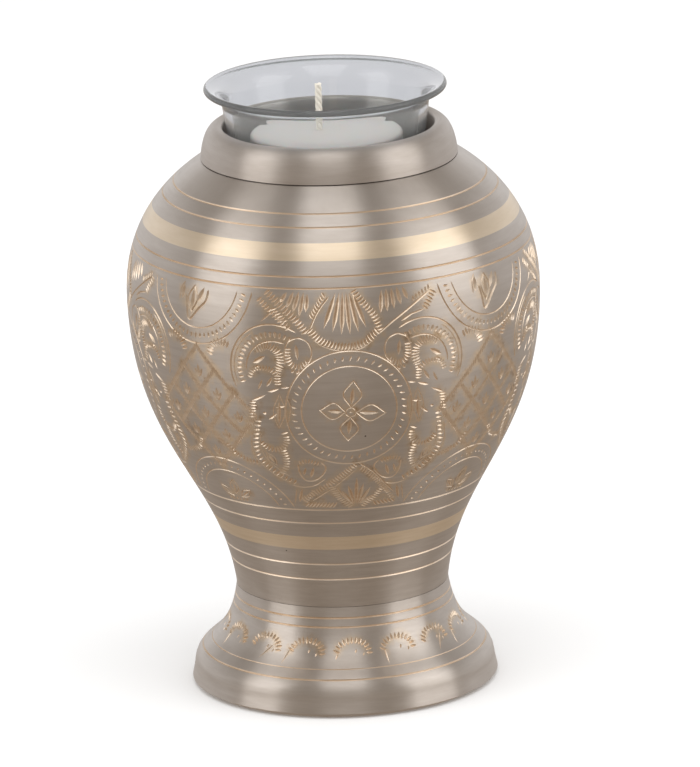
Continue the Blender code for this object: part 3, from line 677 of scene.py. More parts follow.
# %% The fans under the upper border
def fans():
    sheet = Drawing()
    sheet.line(smooth([(-9.4, 21.2), (-7.3, 25.6), (-4.2, 29.6)]), 0.55)
    rim = smooth([(-9.3, 21.0), (-6.8, 18.6), (-3.6, 17.3), (0.6, 16.9), (4.2, 17.8), (7.2, 20.4)])
    sheet.row(rim, pitch=0.80, reach=2.3, lean=82, width=0.68)
    sheet.line([(x, y - 1.1) for x, y in rim[2:-2]], 0.26)
    for foot_x, foot_y, head_x in ((-5.9, 21.4, -2.6), (-3.7, 20.6, -1.7), (-1.5, 19.9, -0.9),
                                   (0.6, 19.8, -0.1), (2.7, 20.3, 0.7), (4.6, 21.4, 1.4)):
        sheet.push((foot_x, foot_y), (head_x, 30.4), 1.20)
    sheet.row(smooth([(1.9, 30.5), (4.1, 27.5), (6.6, 24.4), (8.0, 20.8)]), pitch=0.86, reach=2.1, width=0.68)
    sheet.row([(-8.8, 24.6), (-5.6, 29.8)], pitch=0.85, reach=1.7, lean=60, width=0.62)

    ribbon = smooth([(-19.6, 30.4), (-16.2, 27.0), (-12.6, 23.6), (-10.4, 20.8)])
    sheet.row(ribbon, pitch=0.86, reach=2.5, lean=86, width=0.76)
    sheet.row([(x - 2.1, y - 1.9) for x, y in ribbon[:-5]], pitch=0.88, reach=1.9, lean=86, width=0.74)
    sheet.line([(-21.7, 22.9), (-18.4, 25.8)], 0.55)
    sheet.row([(-18.4, 26.2), (-15.8, 23.4)], pitch=0.75, reach=2.3, lean=60, width=0.6)
    for foot, head in (((-16.4, 27.9), (-14.6, 30.5)), ((-14.8, 26.6), (-12.9, 30.7)),
                       ((-13.3, 25.6), (-11.5, 30.8)), ((-11.8, 24.5), (-10.4, 30.6)),
                       ((-10.1, 25.6), (-9.5, 30.2))):
        sheet.push(foot, head, 1.15)

    sheet.line([(7.2, 19.4), (11.1, 22.3), (16.1, 25.5), (21.4, 28.9)], 0.5)
    sheet.line([(13.4, 22.2), (16.2, 23.7), (19.8, 24.5)], 0.5)
    sheet.row([(19.9, 24.8), (22.2, 28.4)], pitch=0.8, reach=2.2, width=0.6)
    sheet.row([(16.8, 27.4), (21.0, 29.6)], pitch=0.8, reach=1.6, lean=70, width=0.55)
    for foot, head in (((8.3, 24.6), (8.7, 30.4)), ((10.0, 24.9), (9.9, 30.7)), ((11.8, 25.4), (11.2, 30.7)),
                       ((13.6, 26.2), (12.5, 30.8)), ((15.4, 27.4), (14.0, 30.7))):
        sheet.push(foot, head, 1.10)
    return sheet


# %% The scroll, its plume and its beaded stem, drawn for the left side
def scroll():
    sheet = Drawing()
    eye = (-18.9, 11.2)
    sheet.line(arc(eye, 11.2, 56, 212), 0.48)
    sheet.line(arc(eye, 10.2, 120, 205), 0.22)
    sheet.row(arc(eye, 8.7, 60, 206), pitch=1.20, reach=1.7, width=0.72)
    sheet.line(arc((-18.6, 11.0), 7.2, 66, 186), 0.44)
    plume = smooth([(-22.9, 16.0), (-20.9, 17.0), (-18.8, 16.6), (-17.3, 15.2), (-16.9, 13.2), (-17.3, 11.4)])
    sheet.row(plume, pitch=0.70, reach=2.4, lean=84, width=0.60)
    sheet.row(smooth([(-17.4, 10.8), (-17.7, 9.2), (-17.6, 7.2)]), pitch=0.72, reach=1.8, width=0.56)
    sheet.push((-24.1, 12.3), (-20.7, 14.3), 1.3)
    sheet.push((-23.8, 11.0), (-22.2, 11.8), 0.9)
    hook = smooth([(-24.9, 8.8), (-24.0, 10.6), (-21.8, 11.2), (-19.4, 10.9), (-18.0, 9.6)])
    sheet.row(hook, pitch=0.76, reach=1.6, width=0.62)
    sheet.push((-20.6, 6.3), (-19.0, 9.0), 0.9)
    sheet.push((-22.8, 5.4), (-21.6, 8.2), 0.7)

    sheet.push((-24.6, 2.2), (-20.9, 4.0), 0.70)
    sheet.push((-20.4, 4.9), (-17.3, 5.9), 0.75)
    sheet.push((-16.9, 6.1), (-14.8, 6.4), 0.55)
    sheet.row([(-24.3, 1.8), (-24.5, -2.2)], pitch=0.76, reach=2.0, lean=96, width=0.62)
    stem = smooth([(-23.0, -3.4), (-23.5, -6.5), (-23.7, -11.0), (-22.6, -14.4), (-19.8, -17.6),
                   (-16.6, -20.2), (-13.6, -21.9)])
    sheet.row(stem, pitch=1.25, reach=1.8, lean=98, width=0.68)
    sheet.line([(x - 1.2, y - 0.3) for x, y in stem[4:]], 0.24)
    sheet.line([(x + 1.2, y + 0.5) for x, y in stem[6:-4]], 0.22)
    sheet.line(petal((-17.6, -5.2), (-17.3, 4.6), 1.5), 0.26, closed=True)
    sheet.push((-17.6, -4.0), (-17.4, 2.8), 1.1)
    sheet.push((-20.2, -2.7), (-17.9, -0.8), 0.75)
    sheet.push((-18.4, 0.8), (-15.8, 1.2), 0.6)
    sheet.push((-21.7, -1.2), (-20.7, -0.8), 0.8)
    sheet.push((-17.2, -6.8), (-15.2, -6.1), 0.6)
    sheet.line(smooth([(-15.4, 3.4), (-14.6, 1.0), (-14.9, -2.0), (-15.6, -4.4)]), 0.26)
    curl = smooth([(-22.0, -9.8), (-20.4, -11.2), (-18.6, -11.7), (-16.8, -11.0), (-15.7, -9.2),
                   (-15.8, -7.6)])
    sheet.row(curl, pitch=0.78, reach=1.8, width=0.66)
    sheet.line(petal((-21.0, -12.6), (-18.2, -16.6), 0.9), 0.26, closed=True)
    sheet.push((-20.5, -13.3), (-18.8, -15.8), 0.9)
    sheet.row(smooth([(-16.4, -11.8), (-15.8, -14.2), (-15.9, -17.0), (-16.9, -19.0)]), pitch=0.80, reach=1.9,
              width=0.66)

    sheet.line(smooth([(-12.9, -15.8), (-12.4, -18.8), (-10.9, -21.2), (-8.6, -21.2), (-6.5, -19.0),
                       (-6.0, -16.8), (-7.2, -15.2)]), 0.45)
    sheet.line(smooth([(-14.4, -23.0), (-11.4, -23.6), (-8.6, -22.9), (-5.9, -20.6)]), 0.34)
    sheet.row(smooth([(-12.4, -15.4), (-10.4, -14.9), (-7.9, -15.6)]), pitch=0.75, reach=1.5, width=0.5)
    sheet.push((-11.4, -19.6), (-10.9, -16.9), 0.7)
    sheet.push((-9.7, -20.4), (-8.9, -16.8), 0.9)

    shell = smooth([(-15.7, 12.2), (-15.8, 15.0), (-15.1, 17.8), (-13.3, 19.0), (-11.6, 19.1), (-9.7, 17.9),
                    (-9.0, 15.6), (-9.6, 13.4), (-11.0, 11.9)])
    sheet.line(shell, 0.42)
    sheet.row(smooth([(-15.0, 16.4), (-15.0, 14.0), (-14.0, 12.3), (-12.0, 11.8), (-10.2, 12.8)]), pitch=0.78,
              reach=1.9, width=0.62)
    sheet.push((-12.9, 17.6), (-12.5, 13.6), 1.0)
    sheet.push((-12.9, 9.9), (-12.1, 11.0), 0.8)
    sheet.push((-14.2, 10.2), (-13.5, 11.1), 0.7)

    sheet.push((-12.4, -29.0), (-11.8, -24.2), 0.9)
    sheet.row([(-10.8, -28.6), (-8.9, -25.0)], pitch=0.8, reach=1.5, width=0.55)
    sheet.line([(-13.2, -24.2), (-13.6, -29.6)], 0.3)
    return sheet


# %% The leaf under its gable, on the lower border
def leaf():
    sheet = Drawing()
    top = (2.0, -15.6)
    sheet.row([(1.2, -16.4), (-4.9, -22.6), (-11.4, -27.9)], pitch=0.76, reach=2.0, lean=84, width=0.62)
    sheet.line([(1.6, -17.8), (-3.9, -23.6), (-9.4, -28.6)], 0.3)
    sheet.line([top, (6.0, -19.2), (11.1, -26.6)], 0.46)
    sheet.row([(2.9, -17.4), (6.3, -21.0), (9.4, -26.0)], pitch=0.76, reach=2.1, lean=104, width=0.62)
    sheet.row([(-4.6, -23.6), (-2.6, -27.4), (0.2, -30.4)], pitch=0.74, reach=1.8, lean=80, width=0.58)
    sheet.line([(-3.4, -23.4), (-1.4, -27.0), (1.2, -30.2)], 0.38)
    sheet.row([(8.2, -24.6), (6.2, -27.4), (3.4, -30.4)], pitch=0.74, reach=1.8, lean=100, width=0.58)
    for head in ((1.7, -20.4), (-0.5, -23.0), (-2.0, -25.0), (3.4, -22.6), (5.2, -24.0), (6.2, -26.6)):
        foot = (1.6 + 0.18 * (head[0] - 1.6), -29.8)
        sheet.push(foot, head, 1.05)
    sheet.row([(-10.4, -29.6), (-3.6, -29.8)], pitch=0.85, reach=2.2, lean=62, width=0.62)
    sheet.row([(6.2, -29.8), (10.8, -29.4)], pitch=0.85, reach=2.0, lean=118, width=0.62)
    return sheet


# %% The half medallions and the lattice between two panels
def half_medallion(side):
    """On the upper border (side 1) or the lower one (side -1), with a sprig in it."""
    sheet = Drawing()
    centre = (0.0, 31.3) if side > 0 else (0.0, -32.4)
    first, last = (184, 356) if side > 0 else (5, 175)
    sheet.line(arc(centre, 15.8, first, last), 0.42)
    sheet.line(arc(centre, 11.8, first + 2, last - 2), 0.36)
    pitch, reach = (1.35, 1.6) if side > 0 else (1.75, 1.0)
    sheet.row(arc(centre, 13.7, first + 5, last - 5), pitch, reach, lean=80, width=0.64)
    if side > 0:
        sheet.line(smooth([(-3.4, 27.4), (-2.9, 24.6), (-2.1, 21.3), (0.9, 24.4), (3.0, 26.6),
                           (3.5, 29.4)]), 0.62)
        sheet.line(petal((-1.4, 23.4), (-0.9, 29.9), 1.5), 0.50, closed=True)
        sheet.push((-1.2, 24.2), (-1.0, 28.8), 1.2)
        sheet.push((-4.8, 26.0), (-4.3, 29.8), 1.2)
        sheet.push((0.4, 26.0), (2.2, 29.8), 1.2)
        sheet.line(smooth([(-5.6, 25.6), (-5.4, 28.4), (-4.2, 30.5)]), 0.42)
        return sheet
    sheet.line(petal((-0.2, -28.6), (1.2, -23.4), 1.3), 0.36, closed=True)
    sheet.push((0.0, -28.0), (0.9, -24.8), 0.8)
    sheet.line(petal((-1.2, -29.4), (-4.2, -26.2), 1.0), 0.32, closed=True)
    sheet.push((-1.8, -29.0), (-3.7, -26.9), 0.7)
    sheet.line(petal((1.4, -29.4), (5.2, -26.4), 1.0), 0.32, closed=True)
    sheet.push((2.0, -29.0), (4.6, -26.9), 0.7)
    sheet.row([(-2.6, -30.2), (2.8, -30.2)], pitch=0.9, reach=1.2, lean=70, width=0.5)
    return sheet


def lattice():
    """Diamonds whose sides are rows of fine pushes, each with a sprig of three leaves."""
    sheet = Drawing()
    half_width, half_height, top = 5.0, 5.6, 14.8
    cells = [(0, 0), (-1, 1), (1, 1), (0, 2), (-2, 2), (2, 2), (-1, 3), (1, 3), (0, 4)]
    sides = set()
    for column, row in cells:
        sides |= {((column, row), (column - 1, row + 1)), ((column, row), (column + 1, row + 1)),
                  ((column - 1, row + 1), (column, row + 2)), ((column + 1, row + 1), (column, row + 2))}
    for side in sorted(sides):
        start, end = [(column * half_width, top - row * half_height) for column, row in side]
        heading = degrees(atan2(end[1] - start[1], end[0] - start[0]))
        sheet.row([start, end], pitch=0.80, reach=2.15, lean=90 - heading, width=0.62)
    for column, row in cells:
        root = Vector((column * half_width, top - (row + 1.5) * half_height))
        for lean, length in ((-24, 3.0), (0, 3.9), (24, 3.0)):
            way = Vector((sin(radians(lean)), cos(radians(lean))))
            sheet.push(tuple(root + way * 0.3), tuple(root + way * length), 0.85)
    for side in (-1, 1):
        bow = smooth([(4.0 * side, 13.6), (5.0 * side, 15.8), (7.6 * side, 17.0), (9.6 * side, 16.4)])
        sheet.row(bow, pitch=0.85, reach=2.3, width=0.76)
        tail = smooth([(4.4 * side, -11.6), (6.2 * side, -14.2), (8.4 * side, -15.4), (11.2 * side, -16.2)])
        sheet.row(tail, pitch=0.85, reach=1.8, width=0.72)
        sheet.line([(11.2 * side, -1.2), (15.4 * side, -7.6)], 0.32)
        sheet.line([(6.4 * side, -11.9), (12.0 * side, -6.0)], 0.26)
    return sheet


# %% The comb of the foot
COMB_LEGS = (((-3.6, -2.0), (-4.3, -3.6)), ((-3.5, -0.6), (-3.6, -5.6)), ((2.6, -0.6), (-0.4, -5.0)),
             ((-4.0, -0.8), (-6.0, -5.6)))


def comb(number):
    """An arch of pushes with one long thin stroke, which differs from comb to comb."""
    sheet = Drawing()
    crest = smooth([(-3.9, -1.4), (-3.2, 0.0), (-1.9, 0.9), (-0.2, 1.3), (1.6, 1.2), (3.1, 0.5), (4.1, -0.7),
                    (4.4, -2.0)])
    sheet.row(crest, pitch=1.0, reach=1.9, lean=84, width=0.72)
    sheet.push(*COMB_LEGS[number % len(COMB_LEGS)], 0.42)
    sheet.push((1.1, -0.9), (0.7, -2.0), 0.5)
    sheet.push((3.0, -1.8), (2.7, -2.8), 0.45)
    return sheet


# %% [markdown]
# ## From the drawing to real grooves
#
# A belt is a strip of the outline laid out flat. The marks fall on it, each with a spine and two edges,
# and a Delaunay triangulation turns all of them into faces at once, also where marks cross. A corner of
# the mesh is as deep as the deepest mark over it, and a mark is V-shaped: it slopes down evenly from its
# edges to its spine. The roll tree then puts the flat belt back onto the urn. A face counts as cut, and
# takes the brass, where the marks reach its centre.

# %% Marks as spines with half widths
PUSH_STATIONS = (0.0, 0.3, 0.7, 1.0)
PUSH_SHAPE = (0.0, 1.0, 0.85, 0.0)
LONGEST_RUN = 1.5
UNEVENNESS = 0.09


def push_mark(start, end, width):
    """Pointed at both ends and widest just before its middle."""
    run = (end[0] - start[0], end[1] - start[1])
    spine = [(start[0] + run[0] * share, start[1] + run[1] * share) for share in PUSH_STATIONS]
    return spine, [width / 2 * share for share in PUSH_SHAPE], False


def refined(path, closed):
    """The same path in short runs, so that a long straight line still follows the round of the urn."""
    points = []
    for start, end in zip(path, path[1:] + path[:1] if closed else path[1:]):
        count = max(1, ceil(hypot(end[0] - start[0], end[1] - start[1]) / LONGEST_RUN))
        points += [tuple(Vector(start).lerp(Vector(end), part / count)) for part in range(count)]
    return points if closed else points + [tuple(path[-1])]


def line_mark(path, width, closed):
    """Evenly wide, and pointed at open ends."""
    path = refined(path, closed)
    half_widths = [width / 2] * len(path)
    if not closed:
        half_widths[0] = half_widths[-1] = 0.0
    return path, half_widths, closed


def marks_of(sheet, seed):
    """All marks of a drawing, with its rows walked by the tree."""
    verts = []
    edges = []
    values = []
    for path, pitch, reach, lean, width, closed in sheet.rows:
        first = len(verts)
        verts += [(x, y, 0.0) for x, y in path]
        edges += [(index, index + 1) for index in range(first, len(verts) - 1)]
        if closed:
            edges.append((len(verts) - 1, first))
        values += [(pitch, reach, lean, width)] * len(path)
    paths = bpy.data.meshes.new("paths of rows")
    paths.from_pydata(verts, edges, [])
    for number, label in enumerate(("pitch", "reach", "lean", "width")):
        attribute = paths.attributes.new(label, "FLOAT", "POINT")
        attribute.data.foreach_set("value", [value[number] for value in values])
    made = grown("rows", paths, ROWS, Seed=seed, Unevenness=UNEVENNESS)
    ends = [tuple(vert.co.xy) for vert in made.vertices]
    widths = [item.value for item in made.attributes["width"].data]
    marks = [push_mark(*push) for push in zip(ends[::2], ends[1::2], widths[::2])]
    marks += [push_mark(*push) for push in sheet.pushes]
    return marks + [line_mark(*line) for line in sheet.lines]


# %% The belt: a strip laid out flat, with its marks
GROOVE_SLOPE = 0.8
BORDER_MARGIN = 0.25 * MM
CLEAR_OF_MARKS = 0.8 * MM
SAMPLE_GAP = 0.5 * MM
WIDEST_MARK = 1.3 * MM
SEARCH_REACH = (SAMPLE_GAP + WIDEST_MARK) / 2
LEAST_DEPTH = 0.03 * MM
WELD = 0.002 * MM


class Belt:
    """A strip of an outline, laid out flat as (azimuth times a radius, distance along), in metres."""

    def __init__(self, outline, low, high):
        self.outline = outline
        self.low = low
        self.high = high
        self.radius = outline.points[:, 0].max()
        self.half = pi * self.radius
        self.verts = []
        self.edges = []
        self.cuts = []
        self.samples = []
        self.tree = None

    def lay(self, mark, azimuth, middle):
        """Where a mark's spine and edges fall on the strip, kept just inside its borders."""
        path, half_widths, closed = mark
        points = np.array(path) * MM
        along = np.clip(middle + points[:, 1], self.low + BORDER_MARGIN, self.high - BORDER_MARGIN)
        radius = self.outline.at(along)[:, 0]
        spine = np.stack(((azimuth + points[:, 0] / radius) * self.radius, along), axis=1)
        run = np.roll(spine, -1, axis=0) - np.roll(spine, 1, axis=0)
        if not closed:
            run[0] = spine[1] - spine[0]
            run[-1] = spine[-1] - spine[-2]
        squeeze = radius / self.radius
        run[:, 0] *= squeeze
        run *= (np.array(half_widths) * MM / np.maximum(np.linalg.norm(run, axis=1), WELD))[:, None]
        across = np.stack((-run[:, 1] / squeeze, run[:, 0]), axis=1)
        return spine, spine + across, spine - across

    def cut(self, marks, azimuth, middle):
        """Lay marks about an azimuth and a distance, and again across the seam where they reach it."""
        for mark in marks:
            laid = self.lay(mark, azimuth, middle)
            for shift in (-2 * self.half, 0.0, 2 * self.half):
                if abs(laid[0][:, 0] + shift).min() < self.half + 2 * WIDEST_MARK:
                    self.add([line + (shift, 0.0) for line in laid], *mark[1:])

    def add(self, laid, half_widths, closed):
        """Points and edges of one mark."""
        rows = []
        for spine, left, right, half_width in zip(*laid, half_widths):
            first = len(self.verts)
            if half_width:
                self.verts += [spine, left, right]
                rows.append((first, first + 1, first + 2))
            else:
                self.verts.append(spine)
                rows.append((first, first, first))
        following = rows[1:] + rows[:1] if closed else rows[1:]
        for row, after in zip(rows, following):
            self.edges += list(zip(row, after))
        self.cuts.append((laid[0], np.array(half_widths) * MM, closed))

    def in_space(self, places):
        """Flat places on the turned surface."""
        places = np.asarray(places)
        spots = self.outline.at(places[:, 1])
        azimuth = places[:, 0] / self.radius
        return np.stack((spots[:, 0] * np.sin(azimuth), -spots[:, 0] * np.cos(azimuth), spots[:, 1]), axis=1)

    def gather(self):
        """Fill the search tree with samples of every stretch of every spine."""
        stretches = []
        for spine, half_widths, closed in self.cuts:
            spots = [Vector(spot) for spot in self.in_space(spine)]
            ends = list(zip(spots, half_widths))
            stretches += zip(ends, ends[1:] + ends[:1]) if closed else zip(ends, ends[1:])
        for (start, start_width), (end, end_width) in stretches:
            run = end - start
            stretch = (start, run, start_width, end_width - start_width)
            count = max(1, ceil(run.length / SAMPLE_GAP))
            self.samples += [(start + run * ((part + 0.5) / count), stretch) for part in range(count)]
        self.tree = KDTree(len(self.samples))
        for number, (spot, _) in enumerate(self.samples):
            self.tree.insert(spot, number)
        self.tree.balance()

    def depth(self, spot):
        """How deep the deepest mark is at a spot in space, where it is deep enough to show."""
        deepest = 0.0
        for _, number, _ in self.tree.find_range(spot, SEARCH_REACH):
            start, run, width, widening = self.samples[number][1]
            away = spot - start
            share = min(max(away.dot(run) / run.length_squared, 0.0), 1.0)
            deepest = max(deepest, width + widening * share - (away - run * share).length)
        return deepest * GROOVE_SLOPE if deepest > LEAST_DEPTH / 2 else 0.0

    def depths(self, places):
        """The depth at flat places."""
        return [self.depth(Vector(spot)) for spot in self.in_space(places)]

    def flat_mesh(self, name, rows, steps):
        """The triangulated strip, sunk where it is cut, with the finish of each face."""
        self.gather()
        columns = np.linspace(-self.half, self.half, steps + 1)
        heights = np.linspace(self.low, self.high, rows)
        free = [(x, height) for height in heights[1:-1] for x in columns[1:-1]]
        spots = self.in_space(free)
        free = [place for place, spot in zip(free, spots) if self.tree.find(spot)[2] > CLEAR_OF_MARKS]
        border = [(x, self.low) for x in columns] + [(columns[-1], height) for height in heights[1:]]
        border += [(x, self.high) for x in columns[-2::-1]]
        border += [(columns[0], height) for height in heights[-2:0:-1]]
        first = len(self.verts) + len(free)
        count = len(border)
        edges = self.edges + [(first + index, first + (index + 1) % count) for index in range(count)]
        flat = [Vector(place) for place in self.verts + free + border]
        places, _, triangles = delaunay_2d_cdt(flat, edges, [], 0, WELD, False)[:3]
        depths = self.depths(places)
        inside = [face for face in triangles if abs(sum(places[index].x for index in face)) / 3 < self.half]
        data = bpy.data.meshes.new(name)
        data.from_pydata([(place.x, place.y, -sunk) for place, sunk in zip(places, depths)], [], inside)
        centres = [sum((places[index] for index in face), Vector((0, 0))) / 3 for face in inside]
        shown = [CUT if centre and max(depths[index] for index in face) > LEAST_DEPTH else PLAIN
                 for centre, face in zip(self.depths(centres), inside)]
        attribute = data.attributes.new("finish", "INT", "FACE")
        attribute.data.foreach_set("value", shown)
        print("%s: %d marks, %d faces" % (name, len(self.cuts), len(inside)))
        return data


# %% Turned stretches with V-shaped lines and polished bands
LINE_WIDTH = 0.5 * MM
LINE_DEPTH_SHARE = 0.4
STATION = 1.3 * MM
METAL_STEPS = 192


def stretch(outline, start, end, lines=(), bands=()):
    """Stations along an outline, with the finish of the surface above each. Lines are (distance, width)."""
    stations = [(start, 0.0), (end, 0.0)]
    count = max(1, round((end - start) / STATION))
    for distance in np.linspace(start, end, count + 1)[1:-1]:
        if all(abs(distance - line) > width for line, width in lines):
            stations.append((distance, 0.0))
    for line, width in lines:
        stations += [(edge, 0.0) for edge in (line - width / 2, line + width / 2) if start < edge < end]
        stations += [(line, width * LINE_DEPTH_SHARE)] * bool(start < line < end)
    stations += [(edge, 0.0) for band in bands for edge in band if start < edge < end]
    stations = sorted(set(stations))
    points = [outline.at(distance) - outline.outward(distance) * depth for distance, depth in stations]
    finishes = []
    for (low, _), (high, _) in zip(stations, stations[1:]):
        middle = (low + high) / 2
        kind = PLAIN
        if any(low_edge < middle < high_edge for low_edge, high_edge in bands):
            kind = BAND
        if any(abs(middle - line) < width / 2 for line, width in lines):
            kind = CUT
        finishes.append(kind)
    return points, finishes


def turned(name, points, finishes, steps=METAL_STEPS, finish_set=FINISHES):
    """A surface of revolution from outline points and the finish above each."""
    return grown(name, polyline(name, points, finishes), LATHE, Steps=steps, **finish_set)


# %% Join surfaces that share their borders, and polish the normals
SHARP = radians(24)
ON_OUTLINE = 0.01 * MM


def joined(name, parts):
    """One closed mesh from surfaces whose border points meet."""
    materials = []
    whole = bmesh.new()
    for part in parts:
        places = np.empty(len(part.polygons), dtype=np.int32)
        part.polygons.foreach_get("material_index", places)
        slots = np.zeros(len(part.materials), dtype=np.int32)
        for slot in sorted(set(places.tolist())):
            material = part.materials[slot]
            if material not in materials:
                materials.append(material)
            slots[slot] = materials.index(material)
        part.polygons.foreach_set("material_index", slots[places])
        whole.from_mesh(part)
    bmesh.ops.remove_doubles(whole, verts=whole.verts, dist=WELD)
    bmesh.ops.recalc_face_normals(whole, faces=whole.faces)
    gaps = sum(edge.is_boundary for edge in whole.edges)
    data = bpy.data.meshes.new(name)
    whole.to_mesh(data)
    whole.free()
    for material in materials:
        data.materials.append(material)
    data.shade_smooth()
    data.set_sharp_from_angle(angle=SHARP)
    data.calc_loop_triangles()
    print("%s: %d triangles, %d open edges" % (name, len(data.loop_triangles), gaps))
    return data


def polish_normals(data, outline):
    """Corners of uncut faces take the outline's own direction, so that cuts don't dent the reflections."""
    normals = np.empty(len(data.loops) * 3, dtype=np.float32)
    data.corner_normals.foreach_get("vector", normals)
    normals = normals.reshape(-1, 3)
    corners = np.empty(len(data.loops), dtype=np.int32)
    data.loops.foreach_get("vertex_index", corners)
    spots = np.empty(len(data.vertices) * 3)
    data.vertices.foreach_get("co", spots)
    spots = spots.reshape(-1, 3)[corners]
    kinds = np.empty(len(data.polygons), dtype=np.int32)
    data.polygons.foreach_get("material_index", kinds)
    sizes = np.empty(len(data.polygons), dtype=np.int32)
    data.polygons.foreach_get("loop_total", sizes)
    uncut = np.repeat(kinds, sizes) != list(data.materials).index(CUT_BRASS)
    radius = np.hypot(spots[:, 0], spots[:, 1])
    along = np.interp(spots[:, 2], outline.points[:, 1], outline.along)
    outward = outline.outward(along)
    on_outline = abs(radius - outline.at(along)[:, 0]) < ON_OUTLINE
    inner = (spots[:, 2] > outline.points[0, 1]) & (spots[:, 2] < outline.points[-1, 1])
    chosen = uncut & on_outline & inner
    scale = outward[chosen, 0] / radius[chosen]
    level = spots[chosen, :2] * scale[:, None]
    normals[chosen] = np.column_stack((level, outward[chosen, 1]))
    data.normals_split_custom_set(normals.tolist())


# %% How worn the plating is, by how many marks are near
WEAR_REACH = 1.3 * MM
WEAR_START = 5
WEAR_FULL = 12


def store_wear(data, tree):
    """How crowded the marks are around each point of a mesh, from 0 to 1."""
    crowd = np.array([len(tree.find_range(vert.co, WEAR_REACH)) for vert in data.vertices])
    wear = np.clip((crowd - WEAR_START) / (WEAR_FULL - WEAR_START), 0.0, 1.0)
    attribute = data.attributes.new("wear", "FLOAT", "POINT")
    attribute.data.foreach_set("value", wear.astype(np.float32))


# %% Every finished mesh goes into the scene in the same way
def piece(name, data):
    """Put a mesh into the scene at the origin."""
    made = bpy.data.objects.new(name, data)
    bpy.context.collection.objects.link(made)
    return made


# %% [markdown]
# ## The body
#
# The body is spun from sheet, so its wall is thin and follows the outline inside. Eight turned lines and
# two polished bands frame the engraved belt. Everything outside the belt is turned by the lathe tree.

# %% The body's belt
BODY_WALL = 1.6 * MM
WAIST_LINES = (7.7 * MM, 12.2 * MM, 25.7 * MM, 30.4 * MM)
WAIST_BAND = (16.8 * MM, 21.0 * MM)
SHOULDER_LINES = (8.7 * MM, 12.6 * MM, 25.3 * MM, 28.2 * MM)
SHOULDER_BAND = (16.8 * MM, 21.4 * MM)
PANELS = 4
DRAWING_MIDDLE = 62.0 * MM
BELT_ROWS = 44

body_top = body_outline.length
belt_low = WAIST_LINES[-1] + LINE_WIDTH / 2
belt_high = body_top - SHOULDER_LINES[-1] - LINE_WIDTH / 2
facing = Drawing()
facing.add(medallion())
facing.add(fans())
facing.add(scroll())
facing.add(scroll(), mirror=True)
facing.add(leaf())
between = Drawing()
between.add(half_medallion(1))
between.add(half_medallion(-1))
between.add(lattice())

body_belt = Belt(body_outline, belt_low, belt_high)
for panel in range(PANELS):
    azimuth = 2 * pi * panel / PANELS - pi
    body_belt.cut(marks_of(facing, seed=10 + panel), azimuth, DRAWING_MIDDLE)
    body_belt.cut(marks_of(between, seed=20 + panel), azimuth + pi / PANELS, DRAWING_MIDDLE)
flat_belt = body_belt.flat_mesh("body belt", rows=BELT_ROWS, steps=METAL_STEPS)

# %% The whole body
SPIGOT_RADIUS = 24.6 * MM
NECK_INNER = 28.25 * MM
NECK_OUTER = 29.85 * MM
INNER_STATIONS = 46

outline_object = piece("outline of the body", polyline("outline of the body", body_outline.points))
rolled_belt = grown("rolled belt", flat_belt, ROLL, Outline=outline_object,
                    Flat_radius=float(body_belt.radius), **FINISHES)
bpy.data.objects.remove(outline_object)

low_lines = [(distance, LINE_WIDTH) for distance in WAIST_LINES]
low_points, low_finishes = stretch(body_outline, 0.0, belt_low, low_lines, [WAIST_BAND])
spigot = [(0.0, body_low.z), (SPIGOT_RADIUS, body_low.z), (SPIGOT_RADIUS, WAIST.y)]
below = turned("body below the belt", spigot + list(low_points), [PLAIN] * 3 + low_finishes + [PLAIN])

high_lines = [(body_top - distance, LINE_WIDTH) for distance in SHOULDER_LINES]
high_bands = [(body_top - SHOULDER_BAND[1], body_top - SHOULDER_BAND[0])]
high_points, high_finishes = stretch(body_outline, belt_high, body_top, high_lines, high_bands)
neck = [(NECK_OUTER, SHOULDER.y), (NECK_OUTER, body_high.z), (NECK_INNER, body_high.z),
        (NECK_INNER, SHOULDER.y - BODY_WALL)]
inner_stations = np.linspace(body_top - 2 * BODY_WALL, 2 * BODY_WALL, INNER_STATIONS)
inside = [body_outline.at(distance) - body_outline.outward(distance) * BODY_WALL
          for distance in inner_stations]
inside = [point for point in inside if WAIST.y + BODY_WALL < point[1] < SHOULDER.y - BODY_WALL
          and point[0] > NECK_INNER - 2 * BODY_WALL]
floor_radius = SPIGOT_RADIUS - BODY_WALL
inner_floor = [(floor_radius, WAIST.y + BODY_WALL), (floor_radius, body_low.z + BODY_WALL),
               (0.0, body_low.z + BODY_WALL)]
rest = neck + inside + inner_floor
above = turned("body above the belt", list(high_points) + rest, high_finishes + [PLAIN] * (len(rest) + 1))
body_mesh = joined("engraved_body", [below, rolled_belt, above])
polish_normals(body_mesh, body_outline)
store_wear(body_mesh, body_belt.tree)
engraved_body = piece("engraved_body", body_mesh)

# %% [markdown]
# ## The foot
#
# The foot flares out like a bell and is open below. A row of small combs runs around it, between a faint
# line and a bolder one near the rim, and two lines under the joint. It is made in the same way as the
# body, with a narrower belt.

# %% The foot
FOOT_WALL = 1.8 * MM
SEAT_RADIUS = 36.3 * MM
FOOT_RIM_LINE = 8.7 * MM
FAINT_LINE_HEIGHT = 11.3 * MM
FAINT_LINE_WIDTH = 0.28 * MM
FOOT_TOP_LINES = (2.75 * MM, 5.05 * MM)
COMBS = 16
COMB_MIDDLE = 18.17 * MM
COMB_ROWS = 12
FOOT_INNER_STATIONS = 22

